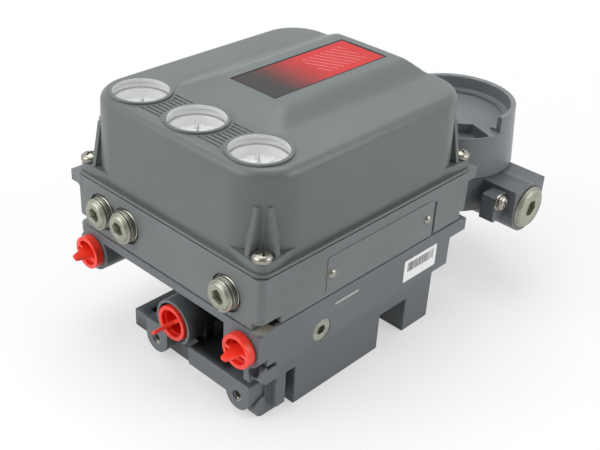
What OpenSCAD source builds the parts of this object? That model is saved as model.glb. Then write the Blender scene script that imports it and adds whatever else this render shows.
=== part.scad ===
// Box type digital valve positioner lying on its back, cover facing up.
// Millimetres. X runs along the nameplate face toward the terminal box,
// Y runs along the port face, Z points out of the cover.

/* [Module base] */
// Length along the nameplate face
base_len = 132; // [120:1:150]
// Width along the port face
base_wid = 112; // [104:1:130]
// Top of the module base above the housing parting face
base_top = 24.4; // [22:0.2:30]
// Vertical edge radius of base and housing plate
edge_r = 3; // [1:0.5:5]
// Thickness of the gasket between base and housing
gasket_t = 0.8; // [0.5:0.1:1.5]
// Diameter of the quarter inch pipe plugs
plug_d = 13.6; // [12:0.2:16]
// Projection of the pipe plugs
plug_out = 4.6; // [3:0.2:7]
// Spacing of the paired pipe plugs
plug_pitch = 16; // [15:0.5:20]
// Drop of the single pipe plug below the paired ones
plug_drop = 1.9; // [0:0.1:2.4]
// Thickness of the nameplate sheet
name_t = 0.25; // [0.2:0.05:0.8]

/* [Cover] */
// Open joint between the cover lip and the module base
joint_gap = 0.5; // [0.4:0.1:0.8]
// Height of the thin lip around the foot of the cover
lip_t = 1.5; // [1:0.1:2.5]
// Height of the corner pads that carry the cover screws
pad_h = 5.7; // [4:0.1:7]
// Setback of the corner pads from the lip edge
pad_set = 0.9; // [0.5:0.1:1.5]
// Setback of the cover walls from the lip edge at their top
cover_set = 3; // [2:0.5:5]
// Spread of the cover walls at their foot
cover_draft = 1.2; // [0.6:0.1:1.8]
// Vertical corner radius of the cover
cover_r = 19; // [14:1:24]
// Height of the low ledge above the base top
ledge_rise = 39; // [34:0.5:44]
// Rise of the central hump above the ledge
hump_rise = 5; // [3:0.5:8]
// Half width of the hump at its foot
hump_half = 32; // [28:0.5:36]
// Half width of the level crown of the hump
crown_half = 18; // [12:0.5:22]
// Length of the sloping front of the hump
front_run = 12; // [8:0.5:16]
// Wall thickness of the cover
cover_wall = 3; // [2.5:0.1:4]
// Radius on the top edge of the cover
top_fillet = 4; // [2:0.5:6]
// Distance of the cover screws from the lip edges
screw_in = 4.6; // [4:0.1:5.4]
// Distance of the gussets from the corners
rib_in = 9; // [8:0.2:11]
// Thickness of the gussets
rib_t = 2.4; // [1.6:0.1:3]
// Height of the gussets above the corner pads
rib_h = 19; // [14:0.5:22]

/* [Gauges] */
// Distance of the gauge row from the port face
gauge_x = 18.8; // [17:0.2:24]
// Spacing of the three gauges
gauge_pitch = 34; // [31:0.5:36]
// Outer diameter of the raised window rings
gauge_d = 26; // [23:0.5:28]
// Diameter of the pointer spindles
spindle_d = 1.6; // [1.2:0.1:2.4]

/* [Housing] */
// Thickness of the housing plate
plate_t = 4; // [3:0.5:6]
// Depth of the band on the nameplate side
band_drop = 21; // [18:0.5:25]
// Depth of the legs below the parting face
leg_drop = 46.5; // [42:0.5:52]
// Setback of the legs from the band
leg_set = 0.8; // [0.4:0.1:2]
// Start of the vertical groove from the port face
groove_x = 17.2; // [15:0.2:19]
// Width of the vertical groove
groove_w = 5; // [3:0.2:7]
// Width of the magnet channel
slot_w = 18; // [14:0.5:22]
// Distance of the magnet channel from the module base end
slot_back = 47; // [42:0.5:52]
// Depth of the channel roof below the parting face
slot_roof = 28.5; // [26:0.5:32]
// Spacing of the two tapped lugs on the port side
lug_pitch = 50; // [40:1:55]
// Tapping diameter of the lugs and foot holes
tap_d = 5; // [4:0.1:6.8]
// Spacing of the foot holes along the channel
foot_pitch = 59; // [40:1:64]
// Bore of the quarter inch pressure ports
port_d = 12.6; // [11:0.2:14]
// Bore of the vent port
vent_d = 15; // [14:0.2:17]
// Reach of the pull tabs from the port face
port_tab = 10.5; // [9:0.5:14]

/* [Terminal box] */
// Distance of the cap axis from the module base end
box_out = 34.6; // [34:0.2:40]
// Cap axis measured from the nameplate face
box_y = 36.6; // [33:0.2:45]
// Radius of the cap at its skirt
cap_r = 31; // [30:0.2:34]
// Radius of the cap at its rim
cap_top_r = 28.8; // [28.2:0.2:31]
// Height of the cap rim above the parting face
cap_top = 37; // [34:0.5:42]
// Tapped conduit entry diameter
conduit_d = 21.4; // [20:0.2:22]
// Distance of the conduit end faces from the cap axis
conduit_out = 47; // [44:0.5:52]
// Depth of the tapped conduit entries
conduit_depth = 24; // [16:0.5:26]
// Radius of the throat behind each conduit entry
throat_r = 8.5; // [7:0.1:9]

/* [Modules] */
// Length of the converter block
ip_len = 42; // [36:1:46]
// Width of the converter block
ip_wid = 34; // [30:1:36]
// Radius of the relay
relay_r = 20; // [17:0.5:21]
// Gap between the electronics and the converter
module_gap = 7.5; // [3:0.5:9]
// Gap between the gauges and the electronics
board_gap = 6.7; // [5:0.1:8]
// Gap between the converter and the inside of the cover
wall_gap = 6; // [2:0.5:8]

/* [Clearances] */
// Radial clearance of a turning fit
run_clear = 0.05; // [0.02:0.01:0.1]
// Clearance of fixed screws and plugs in their holes
fix_clear = 0.1; // [0.05:0.05:0.2]
// Clearance between parts that move apart
free_clear = 0.5; // [0.4:0.1:0.8]

/* [Part to draw] */
// Name of one sub-part or all

/* [Hidden] */
$fn = 48;
small_fn = 28;
ear_out = 4;
plug_face = 2.5;
pad_out = 0.35;
box_x = base_len + box_out;
conduit_y = box_y - conduit_out;
conduit_y2 = box_y + conduit_out;
span_x0 = -port_tab;
span_x1 = box_x + cap_r;
span_y0 = conduit_y - plug_face;
span_y1 = base_wid + ear_out;
mid_x = (span_x0 + span_x1) / 2;
mid_y = (span_y0 + span_y1) / 2;
mid_w = base_wid / 2;
flange_z = base_top + joint_gap;
pad_z = flange_z + pad_h;
screw_gap = (cover_set + cover_r - screw_in) * sqrt(2) - cover_r - cover_draft;
screw_head = min(screw_in - 0.5, screw_gap - 0.3);
ledge_z = base_top + ledge_rise;
hump_z = ledge_z + hump_rise;
roof_z = ledge_z - cover_wall;
plug_z = (base_top + gasket_t) / 2;
plug_zs = [plug_z - plug_drop, plug_z, plug_z - 0.5];
gauge_ys = [mid_w - gauge_pitch, mid_w, mid_w + gauge_pitch];
lens_r = gauge_d / 2 - 1;
lens_lip = 0.5;
case_r = lens_r - free_clear;
dial_z = roof_z - 3.9;
front_x = gauge_x + gauge_d / 2 + 0.4;
rear_x = base_len - cover_set - 7;
inner_in = cover_set + cover_wall;
label_x0 = front_x + front_run + 3.8;
label_x1 = base_len - 15;
label_half = 13;
name_x0 = 36.4;
name_x1 = base_len - 28;
name_screws = [name_x0 + 3.1, name_x1 - 3];
slit_x = base_len - 25.4;
plug_ys = [18.5, base_wid - 17.2 - plug_pitch, base_wid - 17.2];
port_a = [8.6, -9.8];
port_b = [base_wid - 9.6, -10.4];
port_v = [50, -21];
lug_z = -36.5;
lug_x = 0.8;
lug_y = 12;
slot_mid = base_len - slot_back;
slot_x0 = slot_mid - slot_w / 2;
slot_x1 = slot_mid + slot_w / 2;
band_end = base_len - 10;
leg_end = band_end - 9.6;
hollow_x1 = slot_x0 - 16;
body_wid = base_wid - 25;
foot_dx = slot_w / 2 + 7;
foot_y = 14;
shoulder_z = 8.2;
board_z = shoulder_z + 0.8;
cap_base = shoulder_z + free_clear;
cap_floor = cap_top - 8;
pocket_d = 4;
neck_r = cap_r - 4.4;
neck_top = cap_floor - 7;
conduit_z = -4.4;
conduit_r = conduit_d / 2 + 1.7;
box_bottom = -9;
ground_at = [box_x - 15.6, conduit_y + 5.4, 2.8];
vent_in = 3;
conduit_x = box_x + 2;
ip_pos = [base_len - inner_in - wall_gap - ip_len, inner_in + 9.5];
relay_pos = [base_len - inner_in - relay_r - 8, base_wid - inner_in - relay_r - 5];
relay_bolt_r = relay_r - 3;
relay_z = base_top + 24;
coil_r = ip_wid / 2 - 4;
pwb_pos = [gauge_x + case_r + board_gap, 12];
pwb_wid = ip_pos[0] - pwb_pos[0] - module_gap;
pwb_len = base_wid - 24;
pwb_end = [pwb_pos[0] + pwb_wid, pwb_pos[1] + pwb_len];
pwb_z = base_top + 22;
module_screw_at = [
  [pwb_pos[0] - 3.5, 13], [pwb_pos[0] - 3.5, mid_w],
  [base_len - 14, ip_pos[1] + ip_wid + 4.5], [base_len - 14, ip_pos[1] - 5.3]
];
screw_seat = base_top - 5;
screw_end = -8;

// Plan outline with rounded corners, drawn exactly from squares and circles.
module plan(x0, y0, x1, y1, r) {
  translate([x0 + r, y0]) square([x1 - x0 - 2 * r, y1 - y0]);
  translate([x0, y0 + r]) square([x1 - x0, y1 - y0 - 2 * r]);
  for (px = [x0 + r, x1 - r]) {
    for (py = [y0 + r, y1 - r]) {
      translate([px, py]) circle(r);
    }
  }
}

// Upright prism over a rounded plan.
module slab(x0, y0, x1, y1, r, z0, z1) {
  translate([0, 0, z0]) linear_extrude(z1 - z0) plan(x0, y0, x1, y1, r);
}

// Plain block between two corners.
module block(x0, y0, z0, x1, y1, z1) {
  translate([x0, y0, z0]) cube([x1 - x0, y1 - y0, z1 - z0]);
}

// Round bar along X from x0 to x1.
module bar_x(x0, x1, y, z, r) {
  translate([x0, y, z]) rotate([0, 90, 0]) cylinder(h = x1 - x0, r = r);
}

// Round bar along Y from y0 to y1.
module bar_y(y0, y1, x, z, r) {
  translate([x, y0, z]) rotate([-90, 0, 0]) cylinder(h = y1 - y0, r = r);
}

// Section of a cover wall, spread by d at its foot and rounded at its top outer edge.
module wall_section(r, z0, z1, f, d) {
  polygon([[0, z0], [r + d, z0], [r, z1 - f], [0, z1 - f]]);
  translate([0, z0]) square([r - f, z1 - z0]);
  translate([r - f, z1 - f]) circle(f);
}

// Solid with rounded vertical corners and a rounded top edge.
module pillow(x0, y0, x1, y1, r, z0, z1, f, d) {
  lx = x1 - x0 - 2 * r;
  ly = y1 - y0 - 2 * r;
  block(x0 + r, y0 + r, z0, x1 - r, y1 - r, z1);
  translate([x1 - r, y1 - r, 0]) rotate_extrude(angle = 90) wall_section(r, z0, z1, f, d);
  translate([x0 + r, y1 - r, 0]) rotate([0, 0, 90]) rotate_extrude(angle = 90) wall_section(r, z0, z1, f, d);
  translate([x0 + r, y0 + r, 0]) rotate([0, 0, 180]) rotate_extrude(angle = 90) wall_section(r, z0, z1, f, d);
  translate([x1 - r, y0 + r, 0]) rotate([0, 0, 270]) rotate_extrude(angle = 90) wall_section(r, z0, z1, f, d);
  translate([x1 - r, y1 - r, 0]) rotate([90, 0, 0]) linear_extrude(ly) wall_section(r, z0, z1, f, d);
  translate([x0 + r, y0 + r, 0]) rotate([90, 0, 180]) linear_extrude(ly) wall_section(r, z0, z1, f, d);
  translate([x0 + r, y1 - r, 0]) rotate([90, 0, 90]) linear_extrude(lx) wall_section(r, z0, z1, f, d);
  translate([x1 - r, y0 + r, 0]) rotate([90, 0, 270]) linear_extrude(lx) wall_section(r, z0, z1, f, d);
}

// Ridged pipe thread along Z, crest radius r, from z = 0 upward.
module thread_ridges(r, len, pitch) {
  n = floor(len / pitch);
  rotate_extrude() polygon(concat(
    [[0, 0]],
    [for (i = [0 : n - 1]) each [[r - 0.55, i * pitch], [r, (i + 0.5) * pitch]]],
    [[r - 0.55, n * pitch], [0, n * pitch]]
  ));
}

// Pan head screw pointing down, head seat at z = 0, cross recess on top.
module pan_screw(head_r, head_h, shank_r, shank_l) {
  difference() {
    union() {
      cylinder(h = head_h * 0.55, r = head_r, $fn = small_fn);
      translate([0, 0, head_h * 0.55])
        cylinder(h = head_h * 0.45, r1 = head_r, r2 = head_r * 0.62, $fn = small_fn);
      translate([0, 0, -shank_l]) cylinder(h = shank_l + 0.2, r = shank_r, $fn = small_fn);
    }
    translate([-head_r * 0.55, -head_r * 0.11, head_h * 0.45]) cube([head_r * 1.1, head_r * 0.22, head_h]);
    translate([-head_r * 0.11, -head_r * 0.55, head_h * 0.45]) cube([head_r * 0.22, head_r * 1.1, head_h]);
  }
}

// Socket head screw pointing down, head seat at z = 0.
module socket_screw(head_r, head_h, shank_r, shank_l) {
  difference() {
    union() {
      cylinder(h = head_h, r = head_r, $fn = small_fn);
      translate([0, 0, -shank_l]) cylinder(h = shank_l + 0.2, r = shank_r, $fn = small_fn);
    }
    translate([0, 0, head_h * 0.4]) cylinder(h = head_h, r = head_r * 0.55, $fn = 6);
  }
}

module place() {
  translate([-mid_x, -mid_y, leg_drop]) children();
}

// Die cast housing with ports, lugs, legs and magnet channel.
module housing_upper() {
  slab(0, 0, base_len, base_wid, edge_r, -plate_t, 0);
  block(24, 0, -band_drop, band_end, 60, -1);
  block(46, 20, -band_drop, band_end, base_wid - 8, -1);
  block(30, 0, -band_drop, 60, 20, -1);
  block(0, 0, -11, 31, 19.5, -1);
  rotate([90, 0, 90]) linear_extrude(31) plan(0, -17, 19.5, -1, 5);
  block(5, 0, -18, 31, 6, -11);
  block(base_len - 26, 0, -7.4, base_len + 1.5, 10, -1);
  bar_x(0, 48, port_b[0], port_b[1], 9.3);
  bar_x(0, 34, port_v[0], port_v[1], 10.2);
  translate([0, 9, 0]) rotate([90, 0, 0]) linear_extrude(9) ledge_plan();
}

// Rounded ledge under the near corner, in the XZ plane.
module ledge_plan() {
  translate([6, -25.8]) square([21.6, 9.4]);
  translate([6, -21.4]) circle(4.4);
  translate([27.6, -21.4]) circle(4.4);
}

// Lug frame on the port side, in the YZ plane.
module frame_plan() {
  translate([lug_y, lug_z]) circle(6.5);
  translate([lug_y + lug_pitch, lug_z]) circle(6.5);
  translate([lug_y, lug_z - 1]) square([lug_pitch, 8.5]);
  translate([lug_y - 6.5, lug_z]) square([13, 20.5]);
  translate([lug_y + lug_pitch - 6.5, lug_z]) square([13, 8]);
  translate([lug_y + lug_pitch - 12, lug_z + 4]) square([13, 6]);
}

module housing_lower() {
  block(9, 4.5, -leg_drop, slot_x0, body_wid, -band_drop + 2);
  block(groove_x + groove_w, leg_set, -leg_drop, slot_x0, 8, -band_drop + 2);
  block(11.5, leg_set, 4 - leg_drop, groove_x, 8, -band_drop + 2);
  bar_y(4.5, 16, 8.6, 5 - leg_drop, 5);
  block(slot_x0 - 2, leg_set, -slot_roof, slot_x1 + 2, body_wid, -band_drop + 2);
  block(slot_x1, leg_set, -leg_drop, leg_end, body_wid, -band_drop + 2);
  translate([lug_x, 0, 0]) rotate([90, 0, 90]) linear_extrude(9) frame_plan();
  block(9, lug_y, lug_z - 1, 16, lug_y + lug_pitch, lug_z + 7.5);
}

module housing_shape() {
  difference() {
    union() {
      housing_upper();
      housing_lower();
    }
    // hollow seen through the lug frame
    block(14, 20, -leg_drop + 4.5, hollow_x1, body_wid - 6, -band_drop - 1);
    block(26, 24, -leg_drop + 4.5, hollow_x1, 39, -9);
    block(-1, 20, -29, 24, 39.6, -plate_t);
    // open quarter below the plate, beside the far port
    block(-1, 60.5, lug_z + 8, 46, base_wid - 19, -plate_t);
    block(-1, 69, -38, 46, base_wid - 19, -plate_t);
    block(-1, 69, -leg_drop - 1, 8, body_wid + 1, -plate_t - 10);
    // vertical groove beside the near post
    block(groove_x, -1, -leg_drop - 1, groove_x + groove_w, 9, -25.8);
    // pocket and hole in the ledge
    bar_x(-1, 12, 3.6, -20.2, 2.4);
    block(5, -1, -19.2, 10, 4, -17);
    // travel sensor pocket
    slab(slot_x0 - 8, 26, slot_x1 + 8, body_wid - 6, 3, -slot_roof + 4, 1);
    // ports
    bar_x(-1, 16, port_a[0], port_a[1], port_d / 2);
    bar_x(-1, 22, port_b[0], port_b[1], port_d / 2);
    bar_x(-1, 26, port_v[0], port_v[1], vent_d / 2);
    bar_x(-1, 4.5, port_v[0], port_v[1], 9);
    bar_y(-1, 9, 36, -15.2, 5.1);
    // tapped holes
    for (i = [0, 1]) {
      bar_x(-1, 15, lug_y + i * lug_pitch, lug_z, tap_d / 2);
      for (s = [-1, 1]) {
        translate([slot_mid + s * foot_dx, foot_y + i * foot_pitch, -leg_drop - 1])
          cylinder(h = 14, r = tap_d / 2);
      }
      bar_x(band_end - 12, band_end + 1, box_y - 20 + i * 40, -12, 2.1);
    }
    for (p = module_screw_at) {
      translate([p[0], p[1], screw_end - 1]) cylinder(h = 10, r = 2.1, $fn = small_fn);
    }
  }
}

module housing() {
  color("#4b4f54") place() housing_shape();
}

// Flat gasket between the housing and the module base.
module module_gasket() {
  color("#26282a") place() difference() {
    slab(1.2, 1.2, base_len - 1.2, base_wid - 1.2, 2.4, 0, gasket_t);
    slab(slot_x0 - 8, 26, slot_x1 + 8, body_wid - 6, 3, -1, 2);
    for (p = module_screw_at) {
      translate([p[0], p[1], -1]) cylinder(h = 3, r = 2.4, $fn = small_fn);
    }
    for (p = corner_points()) {
      translate([p[0], p[1], -1]) cylinder(h = 3, r = 9, $fn = small_fn);
    }
  }
}

function corner_points() = [[0, 0], [base_len, 0], [0, base_wid], [base_len, base_wid]];
function cover_screw_at() = [
  for (px = [screw_in, base_len - screw_in]) for (py = [screw_in, base_wid - screw_in]) [px, py]
];

// Manifold block that carries the working modules.
module module_base() {
  color("#5b6063") place() difference() {
    union() {
      slab(0, 0, base_len, base_wid, edge_r, gasket_t, base_top);
      slab(-pad_out, -pad_out, 6, 6, edge_r, base_top - 5.4, base_top);
      slab(-pad_out, base_wid - 6, 6, base_wid + pad_out, edge_r, base_top - 5.4, base_top);
      for (py = [0, base_wid - 9]) {
        block(base_len - 4, py, base_top - 5, base_len + ear_out, py + 9, base_top);
      }
      for (px = [0, base_len - 9]) {
        block(px, base_wid - 4, base_top - 5, px + 9, base_wid + ear_out, base_top);
      }
    }
    // corner notches at the parting face
    block(-1, -1, 0, 11.3, 4.4, 4);
    block(base_len - 5, -1, 0, base_len + 1, 10, 4.4);
    block(-1, base_wid - 5, 0, 10, base_wid + 1, 4.4);
    // plug recesses and bores
    for (i = [0 : 2]) {
      bar_x(-1, 1.4, plug_ys[i], plug_zs[i], plug_d / 2 + 1.3);
      bar_x(-1, 16, plug_ys[i], plug_zs[i], plug_d / 2 + fix_clear);
    }
    block(-1, plug_ys[1], plug_z - 5, 1.4, plug_ys[2], plug_z + 5);
    // joint slit beside the nameplate
    block(slit_x - 0.5, -1, 0, slit_x + 0.6, 2, 17.5);
    for (px = name_screws) {
      bar_y(-1, 6, px, 11, 1.3);
    }
    for (p = cover_screw_at()) {
      translate([p[0], p[1], base_top - 13]) cylinder(h = 14, r = 2.4, $fn = small_fn);
    }
    for (p = module_screw_at) {
      translate([p[0], p[1], -1]) cylinder(h = base_top + 2, r = 2.4, $fn = small_fn);
      translate([p[0], p[1], screw_seat]) cylinder(h = 6, r = 4.4, $fn = small_fn);
    }
    // board, converter and relay screw holes
    for (p = board_screw_at()) {
      translate([p[0], p[1], base_top - 8]) cylinder(h = 9, r = 1.6, $fn = small_fn);
    }
    for (a = [45, 135, 225, 315]) {
      translate([relay_pos[0], relay_pos[1], base_top - 8])
        bolt_at(a) cylinder(h = 9, r = 1.8, $fn = small_fn);
    }
  }
}

// Three hex socket pipe plugs with exposed thread.
module pipe_plugs() {
  color("#b9b9ae") place() {
    for (i = [0 : 2]) {
      translate([-plug_out, plug_ys[i], plug_zs[i]]) rotate([0, 90, 0]) difference() {
        union() {
          cylinder(h = 1.4, r1 = plug_d / 2 - 1.2, r2 = plug_d / 2 - 0.6);
          translate([0, 0, 1.4]) thread_ridges(plug_d / 2, 6.3, 1.26);
          translate([0, 0, 7.6]) cylinder(h = 8, r = plug_d / 2 - 0.6);
        }
        translate([0, 0, -1]) cylinder(h = 6, r = plug_d / 2 - 4, $fn = 6);
      }
    }
  }
}

// Flush pipe plug in the nameplate side of the housing.
module housing_plug() {
  color("#b9b9ae") place() translate([36, 0.2, -15.2]) rotate([-90, 0, 0]) difference() {
    cylinder(h = 8, r = 5.1 - fix_clear);
    translate([0, 0, -1]) cylinder(h = 4.5, r = 2.4, $fn = 6);
  }
}

// Blank nameplate sheet.
module nameplate() {
  color("#666b6e") place() difference() {
    rotate([90, 0, 0]) linear_extrude(name_t) plan(name_x0, 2.6, name_x1, 19.4, 1.2);
    for (px = name_screws) {
      bar_y(-2, 2, px, 11, 1.3);
    }
  }
}

// Drive screws of the nameplate.
module drive_screws() {
  color("#c9c7c0") place() {
    for (px = name_screws) {
      translate([px, -name_t, 11]) rotate([90, 0, 0]) union() {
        cylinder(h = 0.7, r = 2.2, $fn = small_fn);
        translate([0, 0, 0.7]) cylinder(h = 0.6, r1 = 2.2, r2 = 1.2, $fn = small_fn);
        translate([0, 0, -5]) cylinder(h = 5.2, r = 1.3 - fix_clear, $fn = small_fn);
      }
    }
  }
}

// Plain paper sticker on the housing band.
module asset_sticker() {
  color("#f2f2ee") place() rotate([90, 0, 0]) linear_extrude(0.2) {
    plan(band_end - 33.5, -16.7, band_end - 10.5, -5.6, 0.6);
  }
}

// Cap screws that hold the module base to the housing.
module module_screws() {
  color("#8d8f90") place() {
    for (p = module_screw_at) {
      translate([p[0], p[1], screw_seat]) socket_screw(4.2, 4, 2, screw_seat - screw_end);
    }
  }
}

// Gauge bodies standing on the module base.
module gauge_cases() {
  color("#2c2d2f") place() {
    for (gy = gauge_ys) {
      translate([gauge_x, gy, 0]) difference() {
        union() {
          translate([0, 0, base_top]) cylinder(h = 8, r = 6, $fn = 6);
          translate([0, 0, base_top + 7]) cylinder(h = roof_z - 0.5 - base_top - 7, r = case_r);
        }
        translate([0, 0, dial_z - 0.5]) cylinder(h = 5, r = case_r - 0.8);
      }
    }
  }
}

// Printed dial discs with spindles.
module gauge_dials() {
  color("#e9e9e4") place() {
    for (gy = gauge_ys) {
      translate([gauge_x, gy, 0]) union() {
        translate([0, 0, dial_z - 0.5]) cylinder(h = 0.5, r = case_r - 0.8 - fix_clear);
        translate([0, 0, dial_z - 0.1]) cylinder(h = 1.5, r = spindle_d / 2, $fn = small_fn);
      }
    }
  }
}

// One gauge pointer with a hub bored for the spindle.
module pointer(gy) {
  translate([gauge_x, gy, dial_z + 0.4]) difference() {
    union() {
      cylinder(h = 0.8, r = spindle_d / 2 + 0.9, $fn = small_fn);
      rotate([0, 0, 45]) translate([0, -0.55, 0]) cube([case_r - 2.4, 1.1, 0.5]);
      rotate([0, 0, 225]) translate([0, -0.7, 0]) cube([3.4, 1.4, 0.5]);
    }
    translate([0, 0, -1]) cylinder(h = 3, r = spindle_d / 2 + run_clear, $fn = small_fn);
  }
}

module pointer_a() {
  color("#1b1b1c") place() pointer(gauge_ys[0]);
}

module pointer_b() {
  color("#1b1b1c") place() pointer(gauge_ys[1]);
}

module pointer_c() {
  color("#1b1b1c") place() pointer(gauge_ys[2]);
}

function board_screw_at() = [
  for (px = [pwb_pos[0] + 3.5, pwb_end[0] - 3.5]) for (py = [pwb_pos[1] + 3.5, pwb_end[1] - 3.5]) [px, py]
];

// Potted electronics module.
module electronics_case() {
  color("#22282c") place() difference() {
    slab(pwb_pos[0], pwb_pos[1], pwb_end[0], pwb_end[1], 3, base_top, pwb_z);
    slab(pwb_pos[0] + 7, pwb_pos[1] + 8, pwb_end[0] - 7, pwb_end[1] - 8, 2, pwb_z - 6, pwb_z + 1);
    for (p = board_screw_at()) {
      translate([p[0], p[1], base_top - 1]) cylinder(h = 40, r = 1.6, $fn = small_fn);
    }
    for (p = module_screw_at) {
      translate([p[0], p[1], base_top - 1]) cylinder(h = 40, r = 4.8, $fn = small_fn);
    }
  }
}

// Circuit board with connectors on the electronics module.
module circuit_board() {
  color("#1f5b39") place() difference() {
    union() {
      slab(pwb_pos[0] + 0.8, pwb_pos[1] + 0.8, pwb_end[0] - 0.8, pwb_end[1] - 0.8, 2, pwb_z, pwb_z + 1.6);
      block(pwb_pos[0] + 8, pwb_pos[1] + 12, pwb_z + 1.5, pwb_end[0] - 8, pwb_pos[1] + 30, pwb_z + 5);
      block(pwb_pos[0] + 10, pwb_pos[1] + 38, pwb_z + 1.5, pwb_end[0] - 10, pwb_pos[1] + 52, pwb_z + 3.4);
      block(pwb_pos[0] + 5, pwb_pos[1] + 60, pwb_z + 1.5, pwb_end[0] - 5, pwb_pos[1] + 68, pwb_z + 8);
    }
    for (p = board_screw_at()) {
      translate([p[0], p[1], base_top - 1]) cylinder(h = 40, r = 1.7, $fn = small_fn);
    }
    for (p = module_screw_at) {
      translate([p[0], p[1], base_top - 1]) cylinder(h = 40, r = 4.8, $fn = small_fn);
    }
  }
}

// Long screws through board and electronics module.
module board_screws() {
  color("#c9c7c0") place() {
    for (p = board_screw_at()) {
      translate([p[0], p[1], pwb_z + 1.6]) pan_screw(2.7, 2, 1.5, pwb_z + 1.6 - base_top + 7);
    }
  }
}

// Current to pressure converter block with its coil housing.
module ip_converter() {
  color("#a9adae") place() translate([ip_pos[0], ip_pos[1], 0]) union() {
    slab(0, 0, ip_len, ip_wid, 2, base_top, base_top + 12);
    translate([ip_len / 2, ip_wid / 2, base_top + 11]) cylinder(h = 12, r = coil_r);
    translate([ip_len / 2, ip_wid / 2, base_top + 22]) cylinder(h = 3, r = 4);
  }
}

// Plastic shroud over the converter.
module ip_shroud() {
  color("#2a2c2f") place() translate([ip_pos[0], ip_pos[1], 0]) difference() {
    slab(1, 1, ip_len - 1, ip_wid - 1, 2, base_top + 12, base_top + 27.5);
    translate([ip_len / 2, ip_wid / 2, base_top + 11]) cylinder(h = 14, r = coil_r + fix_clear);
    translate([ip_len / 2, ip_wid / 2, base_top + 20]) cylinder(h = 9, r = 5);
    for (px = [5.5, ip_len - 5.5]) {
      translate([px, ip_wid / 2, base_top + 20]) cylinder(h = 9, r = 2.2, $fn = small_fn);
    }
  }
}

// Place on the relay's bolt circle.
module bolt_at(a) {
  rotate([0, 0, a]) translate([relay_bolt_r, 0, 0]) children();
}

// Pneumatic relay with ribbed body and an adjusting stem.
module relay_body() {
  color("#8f9496") place() translate([relay_pos[0], relay_pos[1], 0]) difference() {
    union() {
      translate([0, 0, base_top + 1.5]) cylinder(h = 8, r = relay_r + 1);
      translate([0, 0, base_top + 9]) cylinder(h = relay_z - base_top - 9, r = relay_r - 6.5);
      translate([0, 0, base_top + 14]) cylinder(h = 3, r = relay_r - 4);
      translate([0, 0, base_top + 19]) cylinder(h = 3, r = relay_r - 4);
      translate([0, 0, relay_z - 1]) cylinder(h = 5.2, r = 3);
    }
    for (a = [45, 135, 225, 315]) {
      bolt_at(a) translate([0, 0, base_top]) cylinder(h = 12, r = 1.8, $fn = small_fn);
    }
  }
}

// Flat seal below the relay.
module relay_seal() {
  color("#1c1d1e") place() translate([relay_pos[0], relay_pos[1], base_top]) difference() {
    cylinder(h = 1.5, r = relay_r);
    for (a = [45, 135, 225, 315]) {
      bolt_at(a) translate([0, 0, -1]) cylinder(h = 12, r = 1.9, $fn = small_fn);
    }
    translate([0, 0, -1]) cylinder(h = 4, r = 9);
  }
}

// Screws of the relay.
module relay_screws() {
  color("#c9c7c0") place() {
    for (a = [45, 135, 225, 315]) {
      translate([relay_pos[0], relay_pos[1], base_top + 9.5]) bolt_at(a) socket_screw(3, 3, 1.6, 15);
    }
  }
}

// Notched adjustment disc of the relay.
module relay_disc() {
  color("#c8a64a") place() translate([relay_pos[0], relay_pos[1], relay_z + free_clear]) difference() {
    cylinder(h = 3.5, r = relay_r - 6);
    translate([0, 0, -1]) cylinder(h = 6, r = 3 + run_clear);
    for (a = [0 : 45 : 315]) {
      rotate([0, 0, a]) translate([relay_r - 6, 0, -1]) cylinder(h = 6, r = 2, $fn = small_fn);
    }
  }
}

// Travel sensor potted in its pocket above the magnet channel.
module sensor_block() {
  color("#17201b") place() union() {
    slab(slot_x0 - 7.5, 26.5, slot_x1 + 7.5, body_wid - 6.5, 2.6, -slot_roof + 4, -slot_roof + 16);
    block(slot_mid - 6, 36, -slot_roof + 15.5, slot_mid + 6, 48, -slot_roof + 21);
  }
}

// Terminal box casting with two conduit entries.
module terminal_box() {
  color("#4b4f54") place() difference() {
    union() {
      translate([box_x, box_y, box_bottom]) cylinder(h = shoulder_z - box_bottom, r = cap_r - 0.4);
      translate([box_x, box_y, box_bottom + 1]) cylinder(h = neck_top - box_bottom - 1, r = neck_r);
      block(conduit_x - conduit_r, conduit_y, conduit_z, conduit_x + conduit_r, conduit_y2, 7.6);
      bar_y(conduit_y, conduit_y2, conduit_x, conduit_z, conduit_r);
      block(ground_at[0] - 2.8, ground_at[1], -8,
        conduit_x - conduit_r + 1, ground_at[1] + 7.8, ground_at[2] + 2.4);
      block(band_end + 0.8, box_y - 16, -16.5, box_x - 10, box_y + 16, -5.2);
      block(band_end + 0.8, box_y - 25, -18, band_end + 5.8, box_y + 25, -5.2);
    }
    translate([box_x, box_y, box_bottom + 2.5]) cylinder(h = 60, r = neck_r - 4.6);
    translate([box_x, box_y, board_z]) cylinder(h = 60, r = neck_r - 3.6);
    bar_y(conduit_y - 1, conduit_y + conduit_depth, conduit_x, conduit_z, conduit_d / 2);
    bar_y(conduit_y2 - conduit_depth, conduit_y2 + 1, conduit_x, conduit_z, conduit_d / 2);
    bar_y(conduit_y + conduit_depth - 1, conduit_y2 - conduit_depth + 1, conduit_x, conduit_z, throat_r);
    translate([box_x, box_y, shoulder_z + 3]) rotate_extrude() {
      translate([neck_r - 0.7, 0]) circle(1.1, $fn = 24);
    }
    bar_y(ground_at[1] - 1, ground_at[1] + 9, ground_at[0], ground_at[2], 1.8);
    for (i = [0, 1]) {
      bar_x(band_end, band_end + 8, box_y - 20 + i * 40, -12, 2.3);
    }
  }
}

// Gasket between the housing and the terminal box.
module box_gasket() {
  color("#26282a") place() difference() {
    block(band_end, box_y - 24.5, -17.5, band_end + 0.8, box_y + 24.5, -5.6);
    for (i = [0, 1]) {
      bar_x(band_end - 1, band_end + 3, box_y - 20 + i * 40, -12, 2.4);
    }
  }
}

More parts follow.
